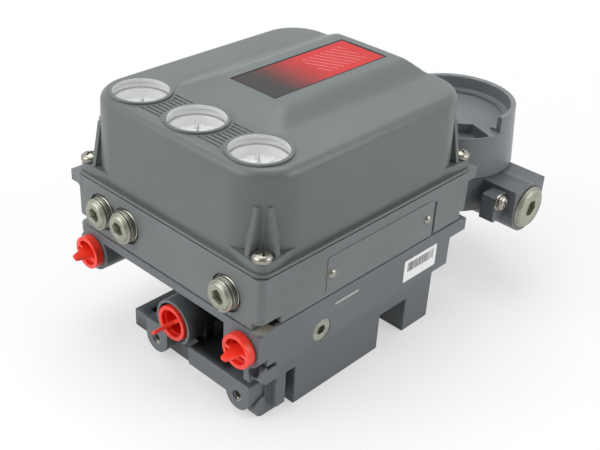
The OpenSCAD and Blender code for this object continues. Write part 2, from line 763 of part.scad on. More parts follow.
// Two socket screws of the terminal box.
module box_screws() {
  color("#8d8f90") place() {
    for (i = [0, 1]) {
      translate([band_end + 5.8, box_y - 20 + i * 40, -12]) rotate([0, 90, 0]) socket_screw(3.5, 3.6, 2, 15);
    }
  }
}

// Round board across the bottom of the terminal box.
module terminal_board() {
  color("#1f5b39") place() difference() {
    translate([box_x, box_y, board_z]) cylinder(h = 1.6, r = neck_r - 3.6 - fix_clear);
    translate([box_x + 8, box_y - 14, 0]) cylinder(h = 30, r = 4, $fn = small_fn);
  }
}

// Terminal strip with partition walls.
module terminal_strip() {
  color("#2f6f8f") place() translate([box_x, box_y, board_z + 1.6]) difference() {
    union() {
      block(-17, -6, 0, 17, 6, 5);
      for (i = [0 : 4]) {
        block(-17 + i * 8.25, -6, 4, -16 + i * 8.25, 6, 8);
      }
    }
    for (i = [0 : 3]) {
      translate([-12.4 + i * 8.25, 0, 0.8]) cylinder(h = 10, r = 1.5, $fn = small_fn);
    }
  }
}

// Wire clamp screws of the terminal strip.
module terminal_screws() {
  color("#c9c7c0") place() {
    for (i = [0 : 3]) {
      translate([box_x - 12.4 + i * 8.25, box_y, board_z + 6.6]) pan_screw(2.8, 1.8, 1.4, 4);
    }
  }
}

// O-ring in the neck groove of the terminal box.
module cap_seal() {
  color("#1c1d1e") place() translate([box_x, box_y, shoulder_z + 3]) rotate_extrude() {
    translate([neck_r - 0.8, 0]) circle(0.9, $fn = 24);
  }
}

// Screw cap of the terminal box, rim cut away toward the module.
module terminal_cap() {
  color("#4b4f54") place() translate([box_x, box_y, 0]) difference() {
    translate([0, 0, cap_base]) cylinder(h = cap_top - cap_base, r1 = cap_r, r2 = cap_top_r, $fn = 72);
    translate([0, 0, cap_base - 1])
      cylinder(h = neck_top + free_clear - cap_base + 1, r = neck_r + free_clear, $fn = 72);
    translate([0, 0, cap_top - 4.6]) cylinder(h = 10, r = cap_top_r - 2.6, $fn = 72);
    translate([0, 0, cap_floor]) cylinder(h = 20, r1 = cap_top_r - 5.6, r2 = cap_top_r - 4, $fn = 72);
    translate([0, 0, cap_floor]) rotate([0, 0, 188]) rotate_extrude(angle = 76) {
      translate([cap_top_r - 8, 0]) square([14, 20]);
    }
    intersection() {
      translate([0, 0, cap_floor - pocket_d]) cylinder(h = pocket_d + 1, r = cap_top_r - 1.8, $fn = 72);
      translate([0, 0, cap_floor - pocket_d]) rotate([0, 0, 225]) linear_extrude(pocket_d + 1) {
        polygon([[13, -20], [13, 7], [28, 14], [28, -20]]);
      }
    }
  }
}

// Hex socket plug in the near conduit entry.
module conduit_plug() {
  color("#b9b9ae") place() translate([conduit_x, conduit_y - plug_face, conduit_z]) rotate([-90, 0, 0]) {
    difference() {
      union() {
        cylinder(h = 1.2, r1 = conduit_d / 2 - 1.4, r2 = conduit_d / 2 - 0.6);
        translate([0, 0, 1.2]) thread_ridges(conduit_d / 2 - fix_clear, 9, 1.8);
        translate([0, 0, 10]) cylinder(h = 5, r = conduit_d / 2 - 1);
      }
      translate([0, 0, -1]) cylinder(h = 7, r = conduit_d / 2 - 6.9, $fn = 6);
    }
  }
}

// External ground screw with its clamp washer.
module ground_screw() {
  color("#c9c7c0") place() translate(ground_at) rotate([90, 0, 0]) union() {
    cylinder(h = 1, r = 4.2, $fn = small_fn);
    translate([0, 0, 1]) pan_screw(3.5, 2.8, 1.7, 8);
  }
}

// Die cast cover with lip, ledge, hump, screw pads and gussets.
module cover_outside() {
  slab(0, 0, base_len, base_wid, edge_r + 2, flange_z, flange_z + lip_t);
  pillow(cover_set, cover_set, base_len - cover_set, base_wid - cover_set, cover_r,
    flange_z, ledge_z, top_fillet, cover_draft);
  intersection() {
    rotate([90, 0, 90]) linear_extrude(base_len) hump_section();
    translate([0, base_wid, 0]) rotate([90, 0, 0]) linear_extrude(base_wid) hump_profile();
  }
  for (gy = gauge_ys) {
    translate([gauge_x, gy, ledge_z - 1]) cylinder(h = 1.8, r = gauge_d / 2);
  }
  for (i = [0, 1]) {
    for (j = [0, 1]) {
      translate([i * base_len, j * base_wid, 0]) mirror([i, 0, 0]) mirror([0, j, 0]) {
        translate([0, 0, flange_z]) linear_extrude(pad_h) pad_plan();
        gussets();
      }
    }
  }
}

// Height share of the hump at distance d from its middle line.
function hump_share(d) = max(0, (abs(d) - crown_half) / (hump_half - crown_half));
function hump_fall(d) = let (t = hump_share(d)) 1 - t * t * (3 - 2 * t);

// Crowned cross section of the hump, in the YZ plane.
module hump_section() {
  polygon(concat(
    [[mid_w + hump_half, ledge_z - 2], [mid_w - hump_half, ledge_z - 2]],
    [for (i = [-8 : 8]) let (d = i * hump_half / 8) [
      mid_w + d, ledge_z + (hump_rise - abs(d) / 90) * hump_fall(d)
    ]]
  ));
}

// Side profile of the hump with its sloping front, in the XZ plane.
module hump_profile() {
  polygon([
    [front_x, ledge_z - 2], [front_x, ledge_z],
    [front_x + front_run, hump_z], [front_x + front_run, hump_z + 1],
    [rear_x, hump_z + 1], [rear_x, hump_z],
    [rear_x + 4.2, ledge_z - 0.3], [rear_x + 4.2, ledge_z - 2]
  ]);
}

// Corner pad that runs out into the walls on both sides.
module pad_plan() {
  r = edge_r + 1;
  a = pad_set + r;
  b = cover_set + cover_r - 1;
  e = cover_set - cover_draft + 0.4;
  polygon([[pad_set, a], [pad_set, rib_in], [e, b], [b, b], [b, e], [rib_in, pad_set], [a, pad_set]]);
  translate([a, a]) circle(r);
}

// Two triangular ribs beside one corner screw.
module gussets() {
  translate([0, rib_in + rib_t, 0]) rotate([90, 0, 0]) linear_extrude(rib_t) gusset_plan();
  translate([rib_in + rib_t, 0, 0]) rotate([90, 0, 270]) mirror([1, 0, 0])
    linear_extrude(rib_t) gusset_plan();
}

// Outline of one rib, from the pad up to the point where it runs into the wall.
module gusset_plan() {
  foot = pad_set + 1;
  polygon([[foot, pad_z - 1], [9, pad_z - 1], [9, pad_z + rib_h], [foot + 4, pad_z + rib_h], [foot, pad_z]]);
}

// Fine grooves between the gauges, kept clear of the rings.
module cover_grooves() {
  difference() {
    union() {
      for (i = [0 : 8]) {
        for (j = [0, 1]) {
          translate([gauge_x - 9.6 + i * 2.2, 0, 0])
            block(0, gauge_ys[j] + 6, ledge_z - 0.6, 1, gauge_ys[j + 1] - 6, ledge_z + 1);
        }
      }
    }
    for (gy = gauge_ys) {
      translate([gauge_x, gy, ledge_z - 2]) cylinder(h = 5, r = gauge_d / 2 + 1.2);
    }
  }
}

module cover() {
  color("#5b6063") place() difference() {
    cover_outside();
    pillow(cover_set + cover_wall, cover_set + cover_wall, base_len - cover_set - cover_wall,
      base_wid - cover_set - cover_wall, cover_r - cover_wall, base_top - 2, roof_z, 1.5, 0);
    block(label_x0, mid_w - crown_half, roof_z - 2, rear_x - 5, mid_w + crown_half, hump_z - cover_wall - 1);
    for (gy = gauge_ys) {
      translate([gauge_x, gy, roof_z - 1]) cylinder(h = 3.2, r = lens_r + fix_clear);
      translate([gauge_x, gy, roof_z]) cylinder(h = 9, r = lens_r - lens_lip);
    }
    cover_grooves();
    for (p = cover_screw_at()) {
      translate([p[0], p[1], base_top]) cylinder(h = 14, r = 2.2, $fn = small_fn);
    }
    slab(label_x0 - 0.2, mid_w - label_half - 0.2, label_x1 + 0.2, mid_w + label_half + 0.2,
      0.8, hump_z - 0.9, hump_z + 2);
    cover_groove_ring();
  }
}

// Plan of the cover walls, drawn in by d.
module wall_plan(d) {
  e = cover_set + d;
  plan(e, e, base_len - e, base_wid - e, cover_r - d);
}

// Seal groove in the underside of the cover walls.
module cover_groove_ring() {
  translate([0, 0, flange_z - 1]) linear_extrude(2) difference() {
    wall_plan(0.6);
    wall_plan(2.6);
  }
}

// Moulded seal under the cover walls.
module cover_seal() {
  color("#1c1d1e") place() translate([0, 0, flange_z]) linear_extrude(0.9) difference() {
    wall_plan(0.8);
    wall_plan(2.4);
  }
}

// Clear windows over the gauges.
module cover_windows() {
  color("#dfe8ea", 0.4) place() {
    for (gy = gauge_ys) {
      translate([gauge_x, gy, roof_z + 0.6]) cylinder(h = 1.5, r = lens_r);
    }
  }
}

// Captive pan head screws of the cover.
module cover_screws() {
  color("#c9c7c0") place() {
    for (p = cover_screw_at()) {
      translate([p[0], p[1], pad_z]) pan_screw(screw_head, 3.2, 1.9, pad_z - base_top + 9.7);
    }
  }
}

// Two colour decorative label set into the hump.
module cover_label() {
  color("#b3272c") place() {
    slab(label_x0, mid_w - label_half, label_x1, mid_w + label_half, 0.6, hump_z - 0.9, hump_z - 0.3);
  }
}

// Slightly tapered pull tab with rounded tip corners, in the XZ plane.
module tab_plan(reach) {
  tip = 1.7;
  r = 1.1;
  polygon([
    [-1.8, -3.8], [-1.8, 3.8], [r - reach, tip], [-reach, tip - r], [-reach, r - tip], [r - reach, -tip]
  ]);
  for (s = [-1, 1]) {
    translate([r - reach, s * (tip - r)]) circle(r, $fn = small_fn);
  }
}

// Pull-out shipping cap along X, disc face outward, tab turned by turn.
module port_cap(stem_r, disc_r, turn, reach) {
  rotate([turn, 0, 0]) union() {
    difference() {
      union() {
        bar_x(-4, -0.4, 0, 0, disc_r);
        bar_x(-0.6, 9, 0, 0, stem_r);
      }
      bar_x(-5, -1.8, 0, 0, disc_r - 1.8);
      bar_x(-2, 7, 0, 0, stem_r - 1.4);
    }
    block(-4, -0.75, -disc_r + 1, -1.6, 0.75, disc_r - 1);
    block(-1.8, -0.75, -stem_r + 1, 8, 0.75, stem_r - 1);
    translate([0, 0.75, 0]) rotate([90, 0, 0]) linear_extrude(1.5) tab_plan(reach);
  }
}

module port_cap_a() {
  color("#d42a1f") place() translate([0, port_a[0], port_a[1]])
    port_cap(port_d / 2 - free_clear, 7.4, 90, port_tab);
}

module port_cap_b() {
  color("#d42a1f") place() translate([0, port_b[0], port_b[1]])
    port_cap(port_d / 2 - free_clear, 7.4, 110, port_tab);
}

module port_cap_vent() {
  color("#d42a1f") place() translate([vent_in, port_v[0], port_v[1]])
    port_cap(vent_d / 2 - free_clear, 7.9, 48, port_tab + vent_in);
}

housing();
module_gasket();
module_base();
pipe_plugs();
housing_plug();
nameplate();
drive_screws();
asset_sticker();
module_screws();
gauge_cases();
gauge_dials();
pointer_a();
pointer_b();
pointer_c();
electronics_case();
circuit_board();
board_screws();
ip_converter();
ip_shroud();
relay_body();
relay_seal();
relay_screws();
relay_disc();
sensor_block();
terminal_box();
box_gasket();
box_screws();
terminal_board();
terminal_strip();
terminal_screws();
cap_seal();
terminal_cap();
conduit_plug();
ground_screw();
cover();
cover_seal();
cover_windows();
cover_screws();
cover_label();
port_cap_a();
port_cap_b();
port_cap_vent();
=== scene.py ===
import math

import bmesh
import bpy
from mathutils import Matrix, Quaternion, Vector


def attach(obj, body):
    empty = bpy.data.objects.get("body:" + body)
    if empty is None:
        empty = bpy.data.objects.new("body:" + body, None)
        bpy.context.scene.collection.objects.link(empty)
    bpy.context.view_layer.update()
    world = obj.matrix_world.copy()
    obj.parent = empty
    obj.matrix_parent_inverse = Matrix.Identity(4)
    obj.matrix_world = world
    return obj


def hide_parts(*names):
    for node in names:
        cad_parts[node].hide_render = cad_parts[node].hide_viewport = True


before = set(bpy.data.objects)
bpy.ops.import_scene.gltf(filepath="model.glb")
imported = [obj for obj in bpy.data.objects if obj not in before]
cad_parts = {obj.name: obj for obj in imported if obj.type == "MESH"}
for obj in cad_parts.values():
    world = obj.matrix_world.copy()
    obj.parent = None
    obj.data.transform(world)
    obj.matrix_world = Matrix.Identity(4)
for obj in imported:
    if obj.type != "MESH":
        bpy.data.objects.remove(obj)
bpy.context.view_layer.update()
scene = bpy.context.scene
print("frame loaded:", len(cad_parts), "nodes")

# corner of the module base in the frame, so that places can be written in millimetres
mm = 0.001
cornerAt = Vector((-0.09355, -0.05155, 0.0465))


def at(x, y, z):
    return cornerAt + Vector((x, y, z)) * mm


# small wrapper so that node maths reads as plain expressions
class Wire:
    def __init__(self, tree, socket=None):
        self.tree = tree
        self.socket = socket

    def node(self, kind, settings=None, sockets=None, out=0):
        item = self.tree.nodes.new(kind)
        for key, value in (settings or {}).items():
            setattr(item, key, value)
        for key, value in (sockets or {}).items():
            if isinstance(value, Wire):
                self.tree.links.new(value.socket, item.inputs[key])
            else:
                item.inputs[key].default_value = value
        return Wire(self.tree, item.outputs[out])

    def maths(self, operation, first, second=0.0):
        return self.node("ShaderNodeMath", {"operation": operation}, {0: first, 1: second})

    def __add__(self, other):
        return self.maths("ADD", self, other)

    def __radd__(self, other):
        return self.maths("ADD", other, self)

    def __sub__(self, other):
        return self.maths("SUBTRACT", self, other)

    def __rsub__(self, other):
        return self.maths("SUBTRACT", other, self)

    def __mul__(self, other):
        return self.maths("MULTIPLY", self, other)

    def __rmul__(self, other):
        return self.maths("MULTIPLY", other, self)

    def __truediv__(self, other):
        return self.maths("DIVIDE", self, other)

    def __gt__(self, other):
        return self.maths("GREATER_THAN", self, other)

    def __lt__(self, other):
        return self.maths("LESS_THAN", self, other)

    def step(self, low, high):
        smooth = {"interpolation_type": "SMOOTHSTEP"}
        return self.node("ShaderNodeMapRange", smooth, {0: self, 1: low, 2: high})

    def blend(self, first, second):
        return self.node("ShaderNodeMix", {"data_type": "RGBA"}, {0: self, 6: first, 7: second}, out=2)


def rgb(red, green, blue):
    return (red, green, blue, 1.0)


def shade(colour, share):
    return rgb(*(min(1.0, channel * share) for channel in colour[:3]))


# one shader per finish; link() joins what varies, fixed values sit on the shader's own sockets
class Finish:
    def __init__(self, name, **fixed):
        self.material = bpy.data.materials.new(name)
        self.material.use_nodes = True
        self.tree = self.material.node_tree
        self.tree.nodes.clear()
        self.wire = Wire(self.tree)
        self.shader = self.tree.nodes.new("ShaderNodeBsdfPrincipled")
        output = self.tree.nodes.new("ShaderNodeOutputMaterial")
        self.tree.links.new(self.shader.outputs[0], output.inputs[0])
        for label, value in fixed.items():
            self.shader.inputs[label.replace("_", " ")].default_value = value
        self.place = self.wire.node("ShaderNodeTexCoord", out="Object")

    def link(self, label, wire):
        self.tree.links.new(wire.socket, self.shader.inputs[label])

    def noise(self, scale, detail=2.0, rough=0.5, stretch=None):
        place = self.place
        if stretch:
            place = self.wire.node("ShaderNodeMapping", {}, {"Vector": place, "Scale": stretch})
        sockets = {"Vector": place, "Scale": scale, "Detail": detail, "Roughness": rough}
        return self.wire.node("ShaderNodeTexNoise", {}, sockets)

    def axis(self, which):
        return self.wire.node("ShaderNodeSeparateXYZ", {}, {"Vector": self.place}, out=which)

    # share of a box in the object, soft at its sides
    def within(self, low, high, soft):
        share = None
        for which in range(3):
            here = self.axis(which)
            above = here.step(low[which] - soft, low[which] + soft)
            side = above * (1.0 - here.step(high[which] - soft, high[which] + soft))
            share = share * side if share else side
        return share

    def bump(self, height, strength, distance):
        sockets = {"Height": height, "Strength": strength, "Distance": distance}
        self.link("Normal", self.wire.node("ShaderNodeBump", {}, sockets))


# layers as scale, detail and roughness of their noise
paintSettings = {
    "clouds": (17.0, 4.0, 0.55), "grime": (60.0, 5.0, 0.65), "specks": (1400.0, 2.0, 0.6),
    "wearAndHighlight": (240.0, 4.0, 0.7), "peel": (620.0, 3.0, 0.5), "peelDepth": 0.00025,
    # painted shade: share and tone of the darker paint on the housing's legs and in its hollows
    "legShade": {"share": 0.5, "tone": 0.74}, "deep": {"share": 0.92, "tone": 0.06},
}


# powder paint: orange peel, cloudy tone, rubbed specks; edge=True is the coat on eased corners, lighter in
# patches: worn paint and a painted highlight
def paintFinish(name, colour, roughness=0.42, peel=0.16, edge=False, deep=(), legShade=()):
    done = Finish(name, Specular_IOR_Level=0.42)
    clouds, grime, specks = (done.noise(*paintSettings[layer]) for layer in ("clouds", "grime", "specks"))
    tone = clouds.step(0.3, 0.72).blend(shade(colour, 0.93), shade(colour, 1.07))
    tone = (grime.step(0.56, 0.8) * 0.35).blend(tone, shade(colour, 0.86))
    tone = (specks.step(0.66, 0.78) * 0.3).blend(tone, shade(colour, 1.25))
    if edge:
        # eased corners painted lighter in patches: part wear, part painted highlight along the edges
        wearAndHighlight = done.noise(*paintSettings["wearAndHighlight"]).step(0.45, 0.7)
        tone = (wearAndHighlight * 0.5).blend(tone, shade(colour, 1.45))
    # painted shade: the boxes of the legs and the hollows are painted darker
    for boxes, rule in ((legShade, paintSettings["legShade"]), (deep, paintSettings["deep"])):
        for box in boxes:
            tone = (done.within(*box) * rule["share"]).blend(tone, shade(colour, rule["tone"]))
    done.link("Base Color", tone)
    done.link("Roughness", (grime - 0.5) * 0.16 + (roughness - 0.05 * edge))
    done.bump(done.noise(*paintSettings["peel"]), peel, paintSettings["peelDepth"])
    return done.material


metalSettings = {"streaks": (900.0, 3.0, 0.6), "stain": (150.0, 4.0, 0.6), "grainDepth": 0.0001}


# machined or cast metal, grain drawn along one axis
def metalFinish(name, colour, roughness, stretch=(1.0, 1.0, 1.0), grain=0.12, dirt=0.3):
    done = Finish(name, Metallic=1.0)
    streaks = done.noise(*metalSettings["streaks"], stretch)
    stain = done.noise(*metalSettings["stain"])
    tone = streaks.step(0.25, 0.75).blend(shade(colour, 0.86), shade(colour, 1.1))
    done.link("Base Color", (stain.step(0.5, 0.74) * dirt).blend(tone, shade(colour, 0.55)))
    done.link("Roughness", (streaks - 0.5) * 0.2 + (stain - 0.5) * 0.14 + roughness)
    done.bump(streaks, grain, metalSettings["grainDepth"])
    return done.material


mouldSettings = {"clouds": (70.0, 3.0, 0.5), "spark": (2.0, 0.55), "sparkDepth": 0.0002}


# moulded plastic or rubber with a fine spark texture
def mouldFinish(name, colour, roughness, texture=0.12, scale=1100.0, subsurface=0.0):
    done = Finish(name, Specular_IOR_Level=0.45, Subsurface_Weight=subsurface, Subsurface_Scale=0.002)
    clouds = done.noise(*mouldSettings["clouds"])
    spark = done.noise(scale, *mouldSettings["spark"])
    tone = clouds.step(0.3, 0.7).blend(shade(colour, 0.92), shade(colour, 1.08))
    done.link("Base Color", (spark.step(0.6, 0.75) * 0.2).blend(tone, shade(colour, 1.3)))
    done.link("Roughness", (clouds - 0.5) * 0.14 + roughness)
    done.bump(spark, texture, mouldSettings["sparkDepth"])
    return done.material


paintTones = {
    "cover": rgb(0.122, 0.137, 0.135),
    "base": rgb(0.146, 0.160, 0.163),
    "housing": rgb(0.129, 0.143, 0.152),
    "box": rgb(0.121, 0.131, 0.14),
    # painted light: the cap's coat is the box's paint made lighter, standing in for the light on the cap
    "cap": rgb(0.184, 0.199, 0.207),
}
# boxes as low corner, high corner and softness: legs painted darker as painted shade, and nearly black paint
# as painted shade in the hollows behind and beside the lug frame
housingCoat = {
    "peel": 0.2,
    # painted shade: the housing's legs below the band are painted darker
    "legShade": [(at(12.0, -5.0, -60.0), at(140.0, 120.0, -21.0), 0.0002)],
    # painted shade: hollows and recesses behind and beside the lug frame painted nearly black
    "deep": [
        (at(2.4, 19.6, -43.0), at(52.0, 41.0, -5.5), 0.0025),
        (at(11.0, 41.0, -43.0), at(52.0, 84.0, -4.5), 0.004),
        (at(4.5, 8.0, -28.8), at(14.5, 20.6, -16.0), 0.003),
        (at(4.0, 42.5, -39.0), at(8.0, 54.5, -28.0), 0.0025),
        (at(5.0, 38.0, -33.0), at(34.0, 50.0, -10.0), 0.006),
    ],
}
coverPaint = paintFinish("coverPaint", paintTones["cover"], 0.35)
coverEdge = paintFinish("coverPaintEdge", paintTones["cover"], 0.33, edge=True)
basePaint = paintFinish("basePaint", paintTones["base"], 0.42)
baseEdge = paintFinish("basePaintEdge", paintTones["base"], 0.38, edge=True)
housingPaint = paintFinish("housingPaint", paintTones["housing"], 0.44, **housingCoat)
housingEdge = paintFinish("housingPaintEdge", paintTones["housing"], 0.4, edge=True, **housingCoat)
# the bead's pale paint: wear and a painted highlight on its ridge
beadPaint = paintFinish("beadPaint", rgb(0.42, 0.43, 0.39), 0.46)
boxPaint = paintFinish("boxPaint", paintTones["box"], 0.36)
boxEdge = paintFinish("boxPaintEdge", paintTones["box"], 0.32, edge=True)
capPaint = paintFinish("capPaint", paintTones["cap"], 0.36)
capEdge = paintFinish("capPaintEdge", paintTones["cap"], 0.32, edge=True)
platePaint = paintFinish("platePaint", rgb(0.152, 0.167, 0.170), 0.38, peel=0.1)
plugSteel = metalFinish("plugSteel", rgb(0.38, 0.39, 0.32), 0.46, grain=0.25, dirt=0.5)
threadSteel = metalFinish("threadSteel", rgb(0.4, 0.4, 0.34), 0.4, grain=0.1, dirt=0.4)
brightSteel = metalFinish("brightSteel", rgb(0.35, 0.335, 0.285), 0.27, (1.0, 1.0, 6.0), 0.08, 0.5)
darkSteel = metalFinish("zincSteel", rgb(0.46, 0.47, 0.48), 0.38)
alloyMetal = metalFinish("blastedAlloy", rgb(0.5, 0.51, 0.52), 0.5, grain=0.3)
brassMetal = metalFinish("turnedBrass", rgb(0.62, 0.45, 0.18), 0.28, (1.0, 1.0, 8.0))
sealRubber = mouldFinish("sealRubber", rgb(0.02, 0.02, 0.022), 0.62)
blackPlastic = mouldFinish("blackPlastic", rgb(0.025, 0.026, 0.028), 0.48)
pottingResin = mouldFinish("pottingResin", rgb(0.02, 0.024, 0.026), 0.3, 0.3, 160.0)
stripBlue = mouldFinish("stripBlue", rgb(0.03, 0.12, 0.22), 0.45)
capRed = mouldFinish("capRed", rgb(0.9, 0.045, 0.022), 0.36, 0.06, 500.0, 0.12)
needleBlack = mouldFinish("needleBlack", rgb(0.03, 0.03, 0.032), 0.4)
inkGrey = mouldFinish("inkGrey", rgb(0.06, 0.06, 0.065), 0.6)
# painted light: pale grey on the bore walls under the windows, lifting their shade
borePaintedLight = mouldFinish("borePaintedLight", rgb(0.66, 0.67, 0.66), 0.3)

# the joint's paint is the housing's made lighter, a painted light
jointSettings = {"bare": (at(-1, -1, -1), at(11.3, 4.4, 1), 0.0001),
                 "paint": shade(paintTones["housing"], 1.7)}


# top of the housing: paint made lighter than the housing's, painted light that lifts the shade in the joint;
# bare metal where the near corner of the joint is open
def jointFinish():
    done = Finish("openJoint")
    grain = done.noise(900.0, 3.0, 0.6, (1.0, 9.0, 1.0))
    bare = done.within(*jointSettings["bare"])
    metal = grain.step(0.25, 0.75).blend(rgb(0.48, 0.44, 0.35), rgb(0.64, 0.6, 0.5))
    done.link("Base Color", bare.blend(jointSettings["paint"], metal))
    done.link("Metallic", bare * 0.6)
    done.link("Roughness", (grain - 0.5) * 0.2 + 0.45)
    done.bump(grain, 0.15, 0.0001)
    return done.material


def dialFinish():
    done = Finish("dialWhite")
    paper = done.noise(300.0, 3.0, 0.5)
    done.link("Base Color", paper.step(0.3, 0.7).blend(rgb(0.84, 0.84, 0.81), rgb(0.92, 0.92, 0.89)))
    done.link("Roughness", (paper - 0.5) * 0.1 + 0.4)
    return done.material


def paperFinish():
    done = Finish("stickerPaper")
    fibre = done.noise(900.0, 4.0, 0.6)
    soil = done.noise(90.0, 3.0, 0.6)
    tone = fibre.step(0.3, 0.7).blend(rgb(0.86, 0.87, 0.86), rgb(0.93, 0.93, 0.92))
    done.link("Base Color", (soil.step(0.55, 0.8) * 0.3).blend(tone, rgb(0.62, 0.62, 0.6)))
    done.link("Roughness", (fibre - 0.5) * 0.1 + 0.5)
    done.bump(fibre, 0.08, 0.0001)
    return done.material


def windowFinish():
    # window: a pale veil of partial alpha, a painted reflection of the glass; noise varies its strength
    done = Finish("windowClear", Base_Color=rgb(0.9, 0.92, 0.92), Roughness=0.04, IOR=1.45)
    reflectionVeil = done.noise(400.0, 4.0, 0.6)
    done.link("Alpha", reflectionVeil.step(0.4, 0.8) * 0.06 + 0.17)
    return done.material


def boardFinish():
    done = Finish("solderMask")
    ways = done.wire.node("ShaderNodeTexBrick", {"offset": 0.35}, {
        "Vector": done.place, "Scale": 120.0, "Mortar Size": 0.03,
        "Color1": rgb(0, 0, 0), "Color2": rgb(0.2, 0.2, 0.2), "Mortar": rgb(1, 1, 1)})
    tracks = done.wire.node("ShaderNodeRGBToBW", {}, {0: ways})
    cloth = done.noise(1200.0, 2.0, 0.5)
    tone = (tracks * 0.6).blend(rgb(0.012, 0.10, 0.045), rgb(0.05, 0.22, 0.1))
    done.link("Base Color", (cloth.step(0.4, 0.7) * 0.3).blend(tone, rgb(0.01, 0.07, 0.03)))
    done.link("Roughness", (cloth - 0.5) * 0.1 + 0.32)
    done.bump(tracks, 0.2, 0.0001)
    return done.material


# label: dark field that runs into red, with slanted hairlines and a plain frame
# the fields are shares of its length and its width
labelSettings = {
    "x": (48.0, 117.0), "middle": 56.0, "half": 13.0,
    "dark": rgb(0.045, 0.04, 0.038), "red": rgb(0.56, 0.03, 0.03), "redRun": (0.12, 0.62),
    "frame": rgb(0.02, 0.018, 0.018), "inner": ((0.012, 0.988), (0.03, 0.97)),
    "hair": {"colour": rgb(0.75, 0.5, 0.48), "field": ((0.52, 0.9), (0.18, 0.82)), "slant": (2.65, 0.5),
             "count": 7.0, "width": 0.12, "share": 0.55},
}


def labelFinish():
    done = Finish("labelPrint", Roughness=0.45, Specular_IOR_Level=0.12, Coat_Roughness=0.2)
    (start, end), half, hair = labelSettings["x"], labelSettings["half"], labelSettings["hair"]
    low = at(start, labelSettings["middle"] - half, 0)
    along = (done.axis(0) - low.x) / ((end - start) * mm)
    across = (done.axis(1) - low.y) / (2 * half * mm)

    def field(ranges):
        (left, right), (near, far) = ranges
        return (along > left) * (along < right) * (across > near) * (across < far)

    grain = done.noise(420.0, 3.0, 0.6)
    red = (along + (grain - 0.5) * 0.05).step(*labelSettings["redRun"])
    tone = red.blend(labelSettings["dark"], labelSettings["red"])
    slant = (along * hair["slant"][0] + across * hair["slant"][1]) * hair["count"]
    line = done.wire.maths("FRACT", slant) < hair["width"]
    tone = (line * field(hair["field"]) * hair["share"]).blend(tone, hair["colour"])
    done.link("Base Color", field(labelSettings["inner"]).blend(labelSettings["frame"], tone))
    done.link("Coat Weight", grain * 0.1)
    done.bump(grain, 0.03, 0.0001)
    return done.material


# gauge body: plated rim around the dial, painted pale and only partly metallic as painted light in the deep
# bore; dark below
def gaugeFinish():
    done = Finish("gaugeMetal")
    turned = done.noise(700.0, 3.0, 0.6, (1.0, 1.0, 9.0))
    rim = done.axis(2).step(at(0, 0, 54.5).z, at(0, 0, 55.5).z)
    bright = turned.step(0.3, 0.7).blend(rgb(0.7, 0.7, 0.68), rgb(0.82, 0.82, 0.8))
    done.link("Base Color", rim.blend(rgb(0.028, 0.029, 0.031), bright))
    done.link("Metallic", rim * 0.35)
    done.link("Roughness", (turned - 0.5) * 0.15 + 0.34)
    done.bump(turned, 0.06, 0.0001)
    return done.material


openJoint = jointFinish()
gaugeMetal = gaugeFinish()
dialWhite = dialFinish()
stickerPaper = paperFinish()
windowClear = windowFinish()
boardGreen = boardFinish()
labelPrint = labelFinish()
print("finishes ready:", len(bpy.data.materials))

nodeFinish = {
    "housing": housingPaint, "module_base": basePaint, "nameplate": basePaint, "cover": coverPaint,
    "terminal_box": boxPaint, "terminal_cap": capPaint,
    "pipe_plugs": plugSteel, "housing_plug": plugSteel, "conduit_plug": plugSteel,
    "module_screws": darkSteel, "relay_screws": darkSteel, "box_screws": darkSteel,
    "drive_screws": brightSteel, "board_screws": brightSteel, "cover_screws": brightSteel,
    "ground_screw": brightSteel, "terminal_screws": brightSteel,
    "module_gasket": sealRubber, "relay_seal": sealRubber, "box_gasket": sealRubber,
    "cap_seal": sealRubber, "cover_seal": sealRubber,
    "port_cap_a": capRed, "port_cap_b": capRed, "port_cap_vent": capRed,
    "gauge_cases": blackPlastic, "gauge_dials": dialWhite, "cover_windows": windowClear,
    "pointer_a": needleBlack, "pointer_b": needleBlack, "pointer_c": needleBlack,
    "electronics_case": pottingResin, "sensor_block": pottingResin, "ip_shroud": blackPlastic,
    "ip_converter": alloyMetal, "relay_body": alloyMetal, "relay_disc": brassMetal,
    "circuit_board": boardGreen, "terminal_board": boardGreen, "terminal_strip": stripBlue,
    "cover_label": labelPrint, "asset_sticker": stickerPaper,
}
for name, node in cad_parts.items():
    node.data.materials.clear()
    node.data.materials.append(nodeFinish[name])
print("node finishes set")


def newPiece(name, data):
    piece = bpy.data.objects.new(name, data)
    scene.collection.objects.link(piece)
    return piece


def settle(piece, body, stands=None):
    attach(piece, body)
    if stands:
        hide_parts(stands)


def dropPiece(piece):
    mesh = piece.data
    bpy.data.objects.remove(piece)
    bpy.data.meshes.remove(mesh)


def plainMesh(piece):
    graph = bpy.context.evaluated_depsgraph_get()
    mesh = bpy.data.meshes.new_from_object(piece.evaluated_get(graph))
    piece.modifiers.clear()
    old = piece.data
    piece.data = mesh
    bpy.data.meshes.remove(old)


def shellMesh(name, shell):
    mesh = bpy.data.meshes.new(name)
    shell.to_mesh(mesh)
    shell.free()
    return mesh


def smoothMesh(mesh, crease=0.7):
    mesh.shade_smooth()
    mesh.set_sharp_from_angle(angle=crease)


# closed skin over a list of loops, from the first to the last
def loopSkin(name, loops, turn=None, finish=None):
    shell = bmesh.new()
    rings = [[shell.verts.new(point) for point in loop] for loop in loops]
    for low, high in zip(rings, rings[1:]):
        for i in range(len(low)):
            j = (i + 1) % len(low)
            shell.faces.new((low[i], low[j], high[j], high[i]))
    shell.faces.new(rings[0])
    shell.faces.new(rings[-1])
    bmesh.ops.recalc_face_normals(shell, faces=shell.faces)
    mesh = shellMesh(name, shell)
    if turn:
        mesh.transform(turn)
    if finish:
        mesh.materials.append(finish)
    smoothMesh(mesh)
    return newPiece(name, mesh)


